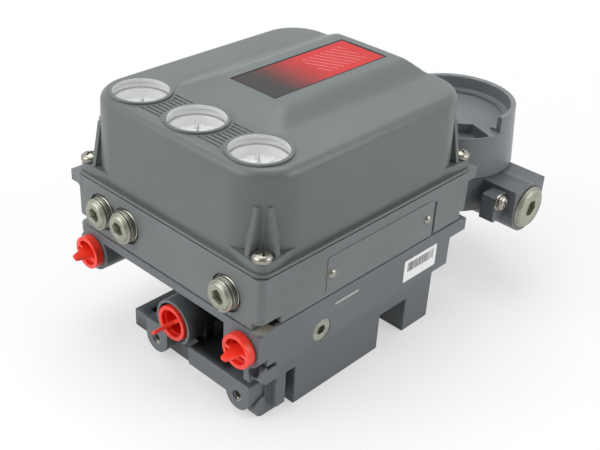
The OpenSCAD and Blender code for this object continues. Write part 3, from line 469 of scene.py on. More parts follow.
# rounded copy of a node: welded, flat faces joined, each edge eased as far as the room beside it allows
softSettings = {
    "housing": {"ease": 0.6, "finish": [housingPaint, housingEdge, openJoint], "slot": "housing_paint"},
    "module_base": {"ease": 0.7, "finish": [basePaint, baseEdge], "slot": "base_paint"},
    "cover": {"body": "cover", "ease": 0.6, "finish": [coverPaint, coverEdge, borePaintedLight],
              "slot": "base_paint"},
    "terminal_box": {"ease": 0.9, "finish": [boxPaint, boxEdge], "slot": "housing_paint"},
    "terminal_cap": {"body": "terminal_cap", "ease": 0.8, "finish": [capPaint, capEdge],
                     "slot": "housing_paint"},
    "port_cap_a": {"body": "port_cap_a", "ease": 0.4, "finish": [capRed] * 2, "slot": "cap_red"},
    "port_cap_b": {"body": "port_cap_b", "ease": 0.4, "finish": [capRed] * 2, "slot": "cap_red"},
    "port_cap_vent": {"body": "port_cap_vent", "ease": 0.4, "finish": [capRed] * 2, "slot": "cap_red"},
    "housing_plug": {"ease": 0.3, "finish": [plugSteel, threadSteel], "slot": "plug_steel"},
    "nameplate": {"ease": 0.16, "finish": [platePaint] * 2, "slot": "plate_paint"},
    "gauge_cases": {"ease": 0.3, "finish": [gaugeMetal] * 2, "slot": "black_plastic"},
    "electronics_case": {"ease": 0.6, "finish": [pottingResin] * 2, "slot": "potting"},
    "ip_converter": {"ease": 0.5, "finish": [alloyMetal] * 2, "slot": "alloy"},
    "ip_shroud": {"ease": 0.6, "finish": [blackPlastic] * 2, "slot": "black_plastic"},
    "relay_body": {"ease": 0.5, "finish": [alloyMetal] * 2, "slot": "alloy"},
    "relay_disc": {"body": "relay_disc", "ease": 0.4, "finish": [brassMetal] * 2, "slot": "brass"},
    "sensor_block": {"ease": 0.5, "finish": [pottingResin] * 2, "slot": "potting"},
    "terminal_strip": {"ease": 0.3, "finish": [stripBlue] * 2, "slot": "strip_blue"},
    "cover_windows": {"body": "cover", "ease": 0.3, "finish": [windowClear] * 2, "slot": "window_clear"},
}
easeRule = {"sharp": math.radians(28), "flat": math.radians(0.6), "weld": 0.000004, "roomShare": 0.42,
            "narrowest": 0.00004, "segments": 3, "evenWeight": 70}
inLine = math.cos(easeRule["sharp"])


# free depth of a face, measured inward from three places along one of its edges
def faceRoom(loop):
    start = loop.vert.co
    along = loop.link_loop_next.vert.co - start
    length = along.length
    along.normalize()
    inward = loop.face.normal.cross(along)
    flat = [((v.co - start).dot(along), (v.co - start).dot(inward)) for v in loop.face.verts]
    room = 1.0
    for share in (0.1, 0.5, 0.9):
        here = length * share
        for (u0, v0), (u1, v1) in zip(flat, flat[1:] + flat[:1]):
            if (u0 - here) * (u1 - here) < 0:
                reach = v0 + (v1 - v0) * (here - u0) / (u1 - u0)
                if reach > 1e-6:
                    room = min(room, reach)
    return room


def edgeRoom(edge):
    room = min(faceRoom(loop) for loop in edge.link_loops)
    for corner in edge.verts:
        along = (edge.other_vert(corner).co - corner.co).normalized()
        for other in corner.link_edges:
            if other is not edge:
                away = (other.other_vert(corner).co - corner.co).normalized()
                if abs(along.dot(away)) < inLine:
                    room = min(room, other.calc_length())
    return room


# one width along each run of sharp edges that follow on from each other
def weighEdges(shell, ease):
    weight = shell.edges.layers.float.new("bevel_weight_edge")
    sharp = [e for e in shell.edges if len(e.link_faces) == 2 and e.calc_face_angle() > easeRule["sharp"]]
    rooms = {e: edgeRoom(e) for e in sharp}
    waiting = set(sharp)
    while waiting:
        run = [waiting.pop()]
        for edge in run:
            for corner in edge.verts:
                near = [e for e in corner.link_edges if e in rooms]
                if len(near) == 2:
                    for other in near:
                        if other in waiting:
                            waiting.discard(other)
                            run.append(other)
        width = min(ease, easeRule["roomShare"] * min(rooms[e] for e in run))
        for edge in run:
            edge.smooth = width > easeRule["narrowest"]
            edge[weight] = width / ease if edge.smooth else 0.0


gaugeSettings = {
    "x": 18.8, "rows": (22.0, 56.0, 90.0), "bore": (10.8, 12.2), "boreFrom": 59.0,
    "dial": 56.5, "reach": 10.2, "start": -90, "sweep": 270,
    "ticks": {"Count": 51, "Every": 5, "Length": 0.0011, "Width": 0.00011},
    "marks": ("0", "2", "4", "6", "8", "10"), "markSize": 0.0021, "markIn": 3.6, "markTurn": -45,
    "needle": ((-3.4, 0.85), (-2.6, 0.85), (-1.2, 0.45), (1.2, 0.42), (6.4, 0.3), (9.0, 0.06)),
    "hub": ((0.84, 0.0), (1.6, 0.0), (1.7, 0.12), (1.7, 0.6), (1.5, 0.8), (0.84, 0.8)),
    "needleLayers": ((0.985, 0.8, 0.02), (1.0, 1.0, 0.1), (1.0, 1.0, 0.28), (0.985, 0.8, 0.36)),
    "needleTurn": 45, "needleRise": 0.4,
}


# faces with a finish of their own: top of the housing, in lightened paint as painted light, and bores under
# the windows, painted pale grey as painted light
def ownFaces(name, mesh):
    if name == "housing":
        level = at(0, 0, 0).z
        return [p for p in mesh.polygons if p.normal.z > 0.99 and abs(p.center.z - level) < 0.0001]
    if name == "cover":
        least, most = (reach * mm for reach in gaugeSettings["bore"])
        level = at(0, 0, gaugeSettings["boreFrom"]).z
        axes = [at(gaugeSettings["x"], row, 0) for row in gaugeSettings["rows"]]

        def lines(face, axis):
            reach = [(mesh.vertices[i].co - axis).xy.length for i in face.vertices]
            return min(reach) > least and max(reach) < most and face.center.z > level

        return [p for p in mesh.polygons if any(lines(p, axis) for axis in axes)]
    return []


# smooth crown laid over the hump of the cover, open where the label sits; the faces below it are sunk
humpSettings = {
    "x": (31.0, 126.9), "middle": 56.0, "half": 33.0, "ledge": 63.4, "rise": 5.0, "bow": 1170,
    "thick": 1.0, "under": 0.02, "labelGap": 0.2, "flank": (18.0, 32.0), "flankSoft": 2.4,
    "front": {"foot": 32.2, "run": 12.0, "soft": 0.5},
    "rear": {"foot": 126.2, "slope": 1.26, "drop": 0.3, "soft": 1.2},
    "sink": {"x": (32.1, 126.3), "half": 32.1, "deep": 0.9},
}


def softMin(first, second, reach):
    gap = max(reach - abs(first - second), 0.0)
    return min(first, second) - gap * gap / (4 * reach)


def humpHeight(x, side):
    front, rear, flank = humpSettings["front"], humpSettings["rear"], humpSettings["flank"]
    share = min(1.0, max(0.0, (abs(side) - flank[0]) / (flank[1] - flank[0])))
    fade = 1 - share * share * (3 - 2 * share)
    section = (humpSettings["rise"] - side * side / humpSettings["bow"]) * fade
    climb = -softMin(-(x - front["foot"]) * humpSettings["rise"] / front["run"], 0.0, front["soft"])
    fall = (rear["foot"] - x) * rear["slope"] - rear["drop"]
    crown = softMin(section, climb, humpSettings["flankSoft"])
    return softMin(crown, fall, rear["soft"]) - humpSettings["under"]


def sinkHump(shell):
    sink, middle = humpSettings["sink"], humpSettings["middle"]
    low = at(sink["x"][0], middle - sink["half"], humpSettings["ledge"] + humpSettings["under"])
    high = at(sink["x"][1], middle + sink["half"], 0)
    for corner in shell.verts:
        spot = corner.co
        if spot.z > low.z and low.x < spot.x < high.x and low.y < spot.y < high.y:
            spot.z -= sink["deep"] * mm


# grid lines about a millimetre apart that run through every given stop
def gridLines(stops, gap=1.2):
    lines = []
    for start, end in zip(stops, stops[1:]):
        count = max(1, round((end - start) / gap))
        lines += [start + (end - start) * i / count for i in range(count)]
    return lines + [stops[-1]]


def humpCrown():
    gap, thick, half = humpSettings["labelGap"], humpSettings["thick"], humpSettings["half"]
    first, last = labelSettings["x"][0] - gap, labelSettings["x"][1] + gap
    reach = labelSettings["half"] + gap
    xs = gridLines((humpSettings["x"][0], first, last, humpSettings["x"][1]))
    sides = gridLines((-half, -reach, reach, half))
    shell = bmesh.new()
    spots = {}

    def corner(i, j, drop):
        if (i, j, drop) not in spots:
            height = humpSettings["ledge"] + humpHeight(xs[i], sides[j]) - drop
            spots[i, j, drop] = shell.verts.new(at(xs[i], humpSettings["middle"] + sides[j], height))
        return spots[i, j, drop]

    def solid(i, j):
        along = first < (xs[i] + xs[i + 1]) / 2 < last
        return not (along and abs(sides[j] + sides[j + 1]) < 2 * reach)

    cells = {(i, j) for i in range(len(xs) - 1) for j in range(len(sides) - 1) if solid(i, j)}
    for i, j in sorted(cells):
        ring = ((i, j), (i + 1, j), (i + 1, j + 1), (i, j + 1))
        shell.faces.new([corner(a, b, 0.0) for a, b in ring])
        shell.faces.new([corner(a, b, thick) for a, b in reversed(ring)])
        for side, beside in enumerate(((i, j - 1), (i + 1, j), (i, j + 1), (i - 1, j))):
            if beside not in cells:
                start, end = ring[side], ring[(side + 1) % 4]
                wall = ((end, 0.0), (start, 0.0), (start, thick), (end, thick))
                shell.faces.new([corner(*cell, drop) for cell, drop in wall])
    mesh = shellMesh("coverCrown", shell)
    mesh.materials.append(coverPaint)
    smoothMesh(mesh)
    settle(newPiece("coverCrown", mesh), "cover")


def carve(shell, cutter):
    mesh = bpy.data.meshes.new("carveCopy")
    shell.to_mesh(mesh)
    piece = newPiece("carveCopy", mesh)
    piece.modifiers.new("carve", "BOOLEAN").object = cutter
    plainMesh(piece)
    shell.clear()
    shell.from_mesh(piece.data)
    dropPiece(piece)
    dropPiece(cutter)


# arc from one angle to another in a number of steps
def arcPoints(first, last, count, reach):
    turns = [math.radians(first + (last - first) * i / count) for i in range(count + 1)]
    return [(math.cos(t) * reach, math.sin(t) * reach) for t in turns]


# terminal cap: deeper step with a thin rim, low ledge inside the wall; the wall is a plain cone
capSettings = {
    "axis": (166.6, 36.6), "wall": 28.0, "slope": 2.2 / 28.3, "upright": 0.985, "cutLevel": 27.0,
    "step": {"arc": (26.2, -44.6, 14), "reach": 28.6, "heights": (23.4, 30.1), "turn": 225.0,
             "back": ((12.8, -20.2), (12.8, 7.1))},
    "ledge": {"arc": (0, 355, 71), "reach": 26.3, "heights": (30.4, 38.0)},
}


def carveCap(shell):
    step, ledge = capSettings["step"], capSettings["ledge"]
    plan = list(step["back"]) + arcPoints(*step["arc"], step["reach"])
    ring = arcPoints(*ledge["arc"], ledge["reach"])
    middle = Matrix.Translation(at(*capSettings["axis"], 0))
    turned = middle @ Matrix.Rotation(math.radians(step["turn"]), 4, "Z")
    for outline, heights, place in ((plan, step["heights"], turned), (ring, ledge["heights"], middle)):
        loops = [[(x * mm, y * mm, z * mm) for x, y in outline] for z in heights]
        carve(shell, loopSkin("capCutter", loops, place))
    every = shell.verts[:] + shell.edges[:] + shell.faces[:]
    level = at(0, 0, capSettings["cutLevel"])
    bmesh.ops.bisect_plane(shell, geom=every, plane_co=level, plane_no=(0, 0, 1))


def roundWall(mesh):
    middle = at(*capSettings["axis"], 0)
    normals = [corner.vector.copy() for corner in mesh.corner_normals]
    for face in mesh.polygons:
        out = (face.center - middle).xy
        outward = face.normal.xy.dot(out.normalized())
        if out.length < capSettings["wall"] * mm or outward < capSettings["upright"]:
            continue
        for corner in face.loop_indices:
            around = (mesh.vertices[mesh.loops[corner].vertex_index].co - middle).xy.normalized()
            normals[corner] = Vector((around.x, around.y, capSettings["slope"])).normalized()
    mesh.normals_split_custom_set(normals)


# open space between the near port and the near lug, and the hollow of the bar beside the far lug
recessSettings = {
    "x": (-1.0, 13.5), "y": (9.1, 20.6), "floor": -29.0, "corner": (14.5, -12.0), "round": 5.06,
    "arc": (0, -90, 9),
    "boxes": [((-1.0, 4.0), (9.05, 9.15), (-29.0, -25.9)), ((-1.0, 41.5), (6.5, 55.0), (-40.0, -28.6))],
}


def carveLug(shell):
    near, far = recessSettings["y"]
    floor, radius = recessSettings["floor"], recessSettings["round"]
    side, level = recessSettings["corner"]
    outline = [(near, floor), (far, floor), (far, level)]
    outline += [(side + y, level + z) for y, z in arcPoints(*recessSettings["arc"], radius)]
    outline.append((near, level - radius))
    loops = [[at(x, y, z) for y, z in outline] for x in recessSettings["x"]]
    carve(shell, loopSkin("recessCutter", loops))
    for low, high, heights in recessSettings["boxes"]:
        corners = (low, (high[0], low[1]), high, (low[0], high[1]))
        carve(shell, loopSkin("recessCutter", [[at(x, y, z) for x, y in corners] for z in heights]))


def softCopy(name, settings):
    shell = bmesh.new()
    shell.from_mesh(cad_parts[name].data)
    bmesh.ops.remove_doubles(shell, verts=shell.verts, dist=easeRule["weld"])
    if name == "terminal_cap":
        carveCap(shell)
    if name == "housing":
        carveLug(shell)
    bmesh.ops.dissolve_degenerate(shell, dist=easeRule["weld"], edges=shell.edges)
    bmesh.ops.dissolve_limit(shell, angle_limit=easeRule["flat"], verts=shell.verts, edges=shell.edges)
    if name == "cover":
        sinkHump(shell)
    weighEdges(shell, settings["ease"] * mm)
    mesh = shellMesh(name + "Soft", shell)
    mesh.materials.clear()
    for finish in settings["finish"]:
        mesh.materials.append(finish)
    mesh.shade_smooth()
    piece = newPiece(name + "Soft", mesh)
    ease = piece.modifiers.new("ease", "BEVEL")
    ease.width = settings["ease"] * mm
    ease.segments = easeRule["segments"]
    ease.limit_method = "WEIGHT"
    ease.use_clamp_overlap = False
    ease.material = 1
    even = piece.modifiers.new("even", "WEIGHTED_NORMAL")
    even.weight = easeRule["evenWeight"]
    even.keep_sharp = True
    plainMesh(piece)
    if name == "terminal_cap":
        roundWall(piece.data)
    for face in ownFaces(name, piece.data):
        face.material_index = 2
    settle(piece, settings.get("body", "instrument"), name)


for name, settings in softSettings.items():
    softCopy(name, settings)
humpCrown()
print("eased copies:", len(softSettings))


# node trees for everything that repeats; each ends in plain mesh with one finish
def growTree(name, inputs):
    tree = bpy.data.node_groups.new(name, "GeometryNodeTree")
    for label, kind in inputs.items():
        tree.interface.new_socket(name=label, in_out="INPUT", socket_type="NodeSocket" + kind)
    tree.interface.new_socket(name="Result", in_out="OUTPUT", socket_type="NodeSocketGeometry")
    entry = tree.nodes.new("NodeGroupInput")
    return Wire(tree), {label: Wire(tree, entry.outputs[label]) for label in inputs}


def closeTree(wire, shape, finish):
    plain = wire.node("GeometryNodeRealizeInstances", {}, {0: shape})
    coated = wire.node("GeometryNodeSetMaterial", {}, {"Geometry": plain, "Material": finish})
    output = wire.tree.nodes.new("NodeGroupOutput")
    wire.tree.links.new(coated.socket, output.inputs[0])
    return wire.tree


def onPoints(wire, points, shape, **more):
    return wire.node("GeometryNodeInstanceOnPoints", {}, {"Points": points, "Instance": shape, **more})


def chance(wire, low, high, seed):
    return wire.node("FunctionNodeRandomValue", {"data_type": "FLOAT"}, {2: low, 3: high, 8: seed}, out=1)


def vector(wire, x=0.0, y=0.0, z=0.0):
    return wire.node("ShaderNodeCombineXYZ", {}, {0: x, 1: y, 2: z})


def copiesTree():
    wire, take = growTree("copiesOnPoints", {
        "Points": "Geometry", "Copy": "Object", "Axis": "Vector", "Turn": "Float", "Seed": "Int",
        "Finish": "Material"})
    copy = wire.node("GeometryNodeObjectInfo", {}, {"Object": take["Copy"]}, out="Geometry")
    spin = chance(wire, 0.0, take["Turn"], take["Seed"])
    turned = wire.node("FunctionNodeAxisAngleToRotation", {}, {"Axis": take["Axis"], "Angle": spin})
    return closeTree(wire, onPoints(wire, take["Points"], copy, Rotation=turned), take["Finish"])


def helixTree():
    wire, take = growTree("helixOnPoints", {
        "Points": "Geometry", "Radius": "Float", "Ridge": "Float", "Pitch": "Float", "Turns": "Float",
        "Sides": "Int", "Facing": "Vector", "Finish": "Material"})
    spiral = wire.node("GeometryNodeCurveSpiral", {}, {
        "Resolution": 40, "Rotations": take["Turns"], "Start Radius": take["Radius"],
        "End Radius": take["Radius"], "Height": take["Turns"] * take["Pitch"]})
    circle = {"Resolution": take["Sides"], "Radius": take["Ridge"]}
    section = wire.node("GeometryNodeCurvePrimitiveCircle", {}, circle)
    sweep = {"Curve": spiral, "Profile Curve": section, "Fill Caps": True}
    ridge = wire.node("GeometryNodeCurveToMesh", {}, sweep)
    facing = wire.node("GeometryNodeTransform", {}, {"Geometry": ridge, "Rotation": take["Facing"]})
    return closeTree(wire, onPoints(wire, take["Points"], facing), take["Finish"])


inkSettings = {"tick": 0.00006, "bar": 0.00004, "major": 0.8, "barWidth": (0.2, 0.8)}


def ticksTree():
    wire, take = growTree("dialTicks", {
        "Points": "Geometry", "Count": "Int", "Every": "Int", "Start": "Float", "Sweep": "Float",
        "Radius": "Float", "Length": "Float", "Width": "Float", "Finish": "Material"})
    order = wire.node("GeometryNodeInputIndex")
    turn = take["Start"] - take["Sweep"] * (order / (take["Count"] - 1.0))
    major = wire.maths("MODULO", order, take["Every"]) < 0.5
    length = take["Length"] * (major * inkSettings["major"] + 1.0)
    reach = take["Radius"] - length * 0.5
    place = vector(wire, reach * wire.maths("COSINE", turn), reach * wire.maths("SINE", turn))
    spots = wire.node("GeometryNodePoints", {}, {"Count": take["Count"], "Position": place})
    size = vector(wire, length, take["Width"] * (major + 1.0), inkSettings["tick"])
    turned = wire.node("FunctionNodeAxisAngleToRotation", {}, {"Axis": (0, 0, 1), "Angle": turn})
    ring = onPoints(wire, spots, wire.node("GeometryNodeMeshCube"), Rotation=turned, Scale=size)
    return closeTree(wire, onPoints(wire, take["Points"], ring), take["Finish"])


def barsTree():
    wire, take = growTree("printedBars", {
        "Points": "Geometry", "Count": "Int", "Gap": "Float", "Height": "Float", "Seed": "Int",
        "Finish": "Material"})
    place = vector(wire, wire.node("GeometryNodeInputIndex") * take["Gap"])
    spots = wire.node("GeometryNodePoints", {}, {"Count": take["Count"], "Position": place})
    wide = chance(wire, *inkSettings["barWidth"], take["Seed"])
    size = vector(wire, wide * take["Gap"], inkSettings["bar"], take["Height"])
    row = onPoints(wire, spots, wire.node("GeometryNodeMeshCube"), Scale=size)
    return closeTree(wire, onPoints(wire, take["Points"], row), take["Finish"])


def scatterTree():
    wire, take = growTree("boardParts", {
        "Points": "Geometry", "Copy": "Object", "Wide": "Float", "Long": "Float", "Across": "Int",
        "Along": "Int", "Keep": "Float", "Seed": "Int", "Finish": "Material"})
    grid = wire.node("GeometryNodeMeshGrid", {}, {
        "Size X": take["Wide"], "Size Y": take["Long"],
        "Vertices X": take["Across"], "Vertices Y": take["Along"]})
    draw = {"Probability": take["Keep"], "Seed": take["Seed"]}
    keep = wire.node("FunctionNodeRandomValue", {"data_type": "BOOLEAN"}, draw, out=3)
    size = chance(wire, 0.7, 1.15, take["Seed"] + 5.0)
    copy = wire.node("GeometryNodeObjectInfo", {}, {"Object": take["Copy"]}, out="Geometry")
    field = onPoints(wire, grid, copy, Selection=keep, Scale=size)
    return closeTree(wire, onPoints(wire, take["Points"], field), take["Finish"])


copies, helix, ticks, bars, scatter = copiesTree(), helixTree(), ticksTree(), barsTree(), scatterTree()
print("node trees ready")


def grow(name, tree, spots, values, slot, body="instrument", stands=None):
    mesh = bpy.data.meshes.new(name)
    mesh.from_pydata([tuple(spot) for spot in spots], [], [])
    piece = newPiece(name, mesh)
    repeat = piece.modifiers.new("repeat", "NODES")
    repeat.node_group = tree
    for item in tree.interface.items_tree:
        if item.in_out == "INPUT" and item.name in values:
            repeat[item.identifier] = values[item.name]
    plainMesh(piece)
    smoothMesh(piece.data, 0.6)
    settle(piece, body, stands)


# one shape on every spot, each copy turned by chance about the axis
def growCopies(name, shape, spots, axis, turn, seed, finish, slot, **fit):
    values = {"Copy": shape, "Axis": axis, "Turn": turn, "Seed": seed, "Finish": finish}
    grow(name, copies, spots, values, slot, **fit)
    dropPiece(shape)


def turnPoint(angle, reach, height):
    return (reach * math.cos(angle) * mm, reach * math.sin(angle) * mm, height * mm)


def ringLoops(angles, profile):
    return [[turnPoint(a, reach, height) for a in angles] for reach, height in profile]


def crossReach(angle, arm, width):
    local = abs((angle + math.pi / 4) % (math.pi / 2) - math.pi / 4)
    if math.tan(local) * arm < width:
        return arm / math.cos(local)
    return width / math.sin(local)


# shares of the head's radius and height; the lip of the recess is in millimetres
headSettings = {
    "arm": 0.54, "slot": 0.13, "brim": 0.4, "rings": (0.68, 0.8, 0.9, 0.96, 1.0),
    "seat": ((1.0, 0.08), (0.96, 0.0)),
    "recess": ((0.35, 0.62), (0.8, 0.42)), "lip": ((1.0, 0.05), (1.05, 0.0)),
}


# pan head screw with a cross recess, head up, seat at zero
def crossScrew(name, head, high, shank, deep, turn=None):
    arm, width, brim = head * headSettings["arm"], head * headSettings["slot"], headSettings["brim"]
    corner = math.degrees(math.atan2(width, arm))
    steps = (-45, -33, -22, -corner, 0, corner, 22, 33)
    angles = [math.radians(90 * quarter + step) for quarter in range(4) for step in steps]

    def dome(reach):
        return high * (brim + (1 - brim) * math.sqrt(max(0.0, 1 - (reach / head) ** 2)))

    def crossLoop(share, drop):
        reaches = [crossReach(a, arm, width) * share for a in angles]
        return [turnPoint(a, reach, dome(reach) - drop) for a, reach in zip(angles, reaches)]

    recess = [(share, high * drop) for share, drop in headSettings["recess"]] + list(headSettings["lip"])
    profile = [(head * share, dome(head * share)) for share in headSettings["rings"]]
    profile += [(head * share, high * level) for share, level in headSettings["seat"]]
    profile += [(shank, 0), (shank, -deep)]
    loops = [crossLoop(share, drop) for share, drop in recess] + ringLoops(angles, profile)
    return loopSkin(name, loops, turn)


# hex socket pipe plug, face at zero, body running up
def hexPlug(name, core, socket, deep, length, turn=None):
    angles = [math.radians(7.5 * i) for i in range(48)]

    def hexLoop(share, height):
        flat = socket * share * math.cos(math.pi / 6)
        return [turnPoint(a, flat / math.cos(a % (math.pi / 3) - math.pi / 6), height) for a in angles]

    hollow = ((0.3, deep + socket * 0.25), (0.98, deep), (1.0, 0.35), (1.09, 0.0))
    lead = ((1.15, 0.0), (0.85, 0.1), (0.5, 0.45), (0.12, 1.3), (0.0, 2.0), (0.0, length))
    loops = [hexLoop(share, height) for share, height in hollow]
    loops += ringLoops(angles, [(core - gap, height) for gap, height in lead])
    return loopSkin(name, loops, turn)


alongX, alongY, upward = (1.0, 0.0, 0.0), (0.0, 1.0, 0.0), (0.0, 0.0, 1.0)
turnX = Matrix.Rotation(math.radians(90), 4, "Y")
turnY = Matrix.Rotation(math.radians(-90), 4, "X")
turnOut = Matrix.Rotation(math.radians(90), 4, "X")
round32 = [math.radians(11.25 * i) for i in range(32)]

# shape: core, socket, depth of the socket, length
plugSettings = {
    "spots": [at(-4.6, 18.5, 10.7), at(-4.6, 78.8, 12.6), at(-4.6, 94.8, 12.1)],
    "shape": (6.15, 3.2, 3.2, 14.0), "threadFrom": Vector((0.0012, 0, 0)),
    "thread": {"Radius": 0.0062, "Ridge": 0.00062, "Pitch": 0.00126, "Turns": 5.2, "Sides": 6,
               "Facing": (0.0, math.pi / 2, 0.0), "Finish": threadSteel},
}
plug = hexPlug("plugCopy", *plugSettings["shape"], turnX)
growCopies("pipePlugBodies", plug, plugSettings["spots"], alongX, 1.0, 3, plugSteel, "plug_steel",
           stands="pipe_plugs")
threadSpots = [spot + plugSettings["threadFrom"] for spot in plugSettings["spots"]]
grow("pipePlugThreads", helix, threadSpots, plugSettings["thread"], "plug_steel")

conduitSettings = {
    "spot": at(168.6, -12.9, -4.4), "shape": (9.9, 4.2, 2.7, 14.8), "threadFrom": Vector((0, 0.0013, 0)),
    "thread": {"Radius": 0.0099, "Ridge": 0.0007, "Pitch": 0.0018, "Turns": 4.4, "Sides": 6,
               "Facing": (-math.pi / 2, 0.0, 0.0), "Finish": threadSteel},
}
plug = hexPlug("conduitCopy", *conduitSettings["shape"], turnY)
growCopies("conduitPlugBody", plug, [conduitSettings["spot"]], alongY, 0.6, 5, plugSteel, "plug_steel",
           stands="conduit_plug")
threadSpots = [conduitSettings["spot"] + conduitSettings["threadFrom"]]
grow("conduitPlugThread", helix, threadSpots, conduitSettings["thread"], "plug_steel")

# size: head radius, head height, shank radius, shank length
screwSettings = {
    "cover_screws": {"size": (3.96, 3.2, 1.9, 15.8), "body": "cover", "seed": 4,
                     "spots": [at(x, y, 30.6) for x in (4.6, 127.4) for y in (4.6, 107.4)]},
    "board_screws": {"size": (2.7, 2.0, 1.5, 30.6), "seed": 8,
                     "spots": [at(x, y, 48) for x in (40.5, 67.0) for y in (15.5, 96.5)]},
    "terminal_screws": {"size": (2.8, 1.8, 1.4, 4.0), "seed": 2,
                        "spots": [at(154.2 + i * 8.25, 36.6, 15.6) for i in range(4)]},
    "ground_screw": {"size": (3.5, 2.8, 1.7, 8.0), "seed": 6, "axis": alongY, "turn": turnOut,
                     "spots": [at(151.0, -6.0, 2.8)]},
}
for name, settings in screwSettings.items():
    screw = crossScrew("screwCopy", *settings["size"], settings.get("turn"))
    growCopies(name + "Cross", screw, settings["spots"], settings.get("axis", upward), 1.5, settings["seed"],
               brightSteel, "bright_steel", body=settings.get("body", "instrument"), stands=name)

washerSettings = {
    "spot": (151.0, -5.0, 2.8),
    "profile": ((1.8, 0.0), (4.0, 0.0), (4.2, 0.15), (4.2, 0.85), (4.0, 1.0), (1.8, 1.0)),
}
place = Matrix.Translation(at(*washerSettings["spot"])) @ turnOut
washer = loopSkin("groundWasher", ringLoops(round32, washerSettings["profile"]), place, brightSteel)
settle(washer, "instrument")

domeSettings = {
    "spots": [at(39.5, -0.25, 11), at(101.0, -0.25, 11)],
    "profile": ((0.2, 1.3), (0.9, 1.22), (1.6, 0.92), (2.0, 0.5), (2.15, 0.1),
                (2.1, 0.0), (1.1, 0.0), (1.1, -5.0)),
}
dome = loopSkin("domeCopy", ringLoops(round32, domeSettings["profile"]), turnOut)
growCopies("driveScrewDomes", dome, domeSettings["spots"], alongY, 0.0, 1, brightSteel, "bright_steel",
           stands="drive_screws")
print("plugs and screws placed")

# thread coils in the tapped lugs
coilSettings = {"Radius": 0.0023, "Ridge": 0.0003, "Pitch": 0.001, "Turns": 9.0, "Sides": 8,
                "Facing": (0.0, math.pi / 2, 0.0), "Finish": threadSteel}
grow("lugCoils", helix, [at(1.0, y, -36.5) for y in (12, 62)], coilSettings, "bright_steel")

# gauges: printed scale and tapered pointers
dialSpots = [at(gaugeSettings["x"], row, gaugeSettings["dial"] + 0.02) for row in gaugeSettings["rows"]]
scale = {"Start": math.radians(gaugeSettings["start"]), "Sweep": math.radians(gaugeSettings["sweep"]),
         "Radius": gaugeSettings["reach"] * mm, "Finish": inkGrey, **gaugeSettings["ticks"]}
grow("dialTicks", ticks, dialSpots, scale, "pointer_black")


def dialNumbers():
    shell = bmesh.new()
    reach = (gaugeSettings["reach"] - gaugeSettings["markIn"]) * mm
    between = gaugeSettings["sweep"] / (len(gaugeSettings["marks"]) - 1)
    upright = Matrix.Rotation(math.radians(gaugeSettings["markTurn"]), 4, "Z")
    for order, mark in enumerate(gaugeSettings["marks"]):
        words = bpy.data.curves.new("mark", "FONT")
        words.body = mark
        words.size = gaugeSettings["markSize"]
        words.align_x, words.align_y = "CENTER", "CENTER"
        holder = newPiece("mark", words)
        graph = bpy.context.evaluated_depsgraph_get()
        mesh = bpy.data.meshes.new_from_object(holder.evaluated_get(graph))
        bpy.data.objects.remove(holder)
        bpy.data.curves.remove(words)
        turn = math.radians(gaugeSettings["start"] - between * order)
        for spot in dialSpots:
            copy = mesh.copy()
            place = spot + Vector((reach * math.cos(turn), reach * math.sin(turn), 0.00003))
            copy.transform(Matrix.Translation(place) @ upright)
            shell.from_mesh(copy)
            bpy.data.meshes.remove(copy)
        bpy.data.meshes.remove(mesh)
    mesh = shellMesh("dialNumbers", shell)
    mesh.materials.append(inkGrey)
    return newPiece("dialNumbers", mesh)


def needle(name, row):
    half = list(gaugeSettings["needle"])
    outline = half + [(x, -w) for x, w in reversed(half)]
    blade = []
    for long, wide, z in gaugeSettings["needleLayers"]:
        blade.append([(x * long * mm, w * wide * mm, z * mm) for x, w in outline])
    spot = at(gaugeSettings["x"], row, gaugeSettings["dial"] + gaugeSettings["needleRise"])
    place = Matrix.Translation(spot) @ Matrix.Rotation(math.radians(gaugeSettings["needleTurn"]), 4, "Z")
    piece = loopSkin(name + "Needle", blade, place, needleBlack)
    hub = loopSkin(name + "Hub", ringLoops(round32, gaugeSettings["hub"]), place, needleBlack)
    settle(piece, name, name)
    settle(hub, name)


settle(dialNumbers(), "instrument")
for name, row in zip(("pointer_a", "pointer_b", "pointer_c"), gaugeSettings["rows"]):
    needle(name, row)
print("gauges dressed")

# plain bars on the sticker, parts on the circuit board
barSettings = {"Count": 30, "Gap": 0.00062, "Height": 0.0046, "Seed": 11, "Finish": inkGrey}
grow("stickerBars", bars, [at(91.0, -0.21, -9.6)], barSettings, "pointer_black")
chipSettings = {
    "half": (1.5, 1.1), "layers": ((0.9, 0.0), (1.0, 0.15), (1.0, 0.8), (0.88, 1.0)),
    "fields": {
        "boardChipsNear": (at(53.5, 18.5, 48.0), {"Wide": 0.02, "Long": 0.008, "Across": 5, "Along": 3,
                                                  "Keep": 0.7, "Seed": 21}),
        "boardChipsMid": (at(53.5, 46.0, 48.0), {"Wide": 0.024, "Long": 0.004, "Across": 6, "Along": 2,
                                                 "Keep": 0.75, "Seed": 22}),
        "boardChipsFar": (at(53.5, 88.0, 48.0), {"Wide": 0.02, "Long": 0.012, "Across": 5, "Along": 4,
                                                 "Keep": 0.65, "Seed": 23}),
    },
}
chipX, chipY = chipSettings["half"]
corners = ((-chipX, -chipY), (chipX, -chipY), (chipX, chipY), (-chipX, chipY))
loops = [[(x * w * mm, y * w * mm, z * mm) for x, y in corners] for w, z in chipSettings["layers"]]
chip = loopSkin("chipCopy", loops)
for name, (spot, values) in chipSettings["fields"].items():
    grow(name, scatter, [spot], {"Copy": chip, "Finish": blackPlastic, **values}, "black_plastic")
dropPiece(chip)
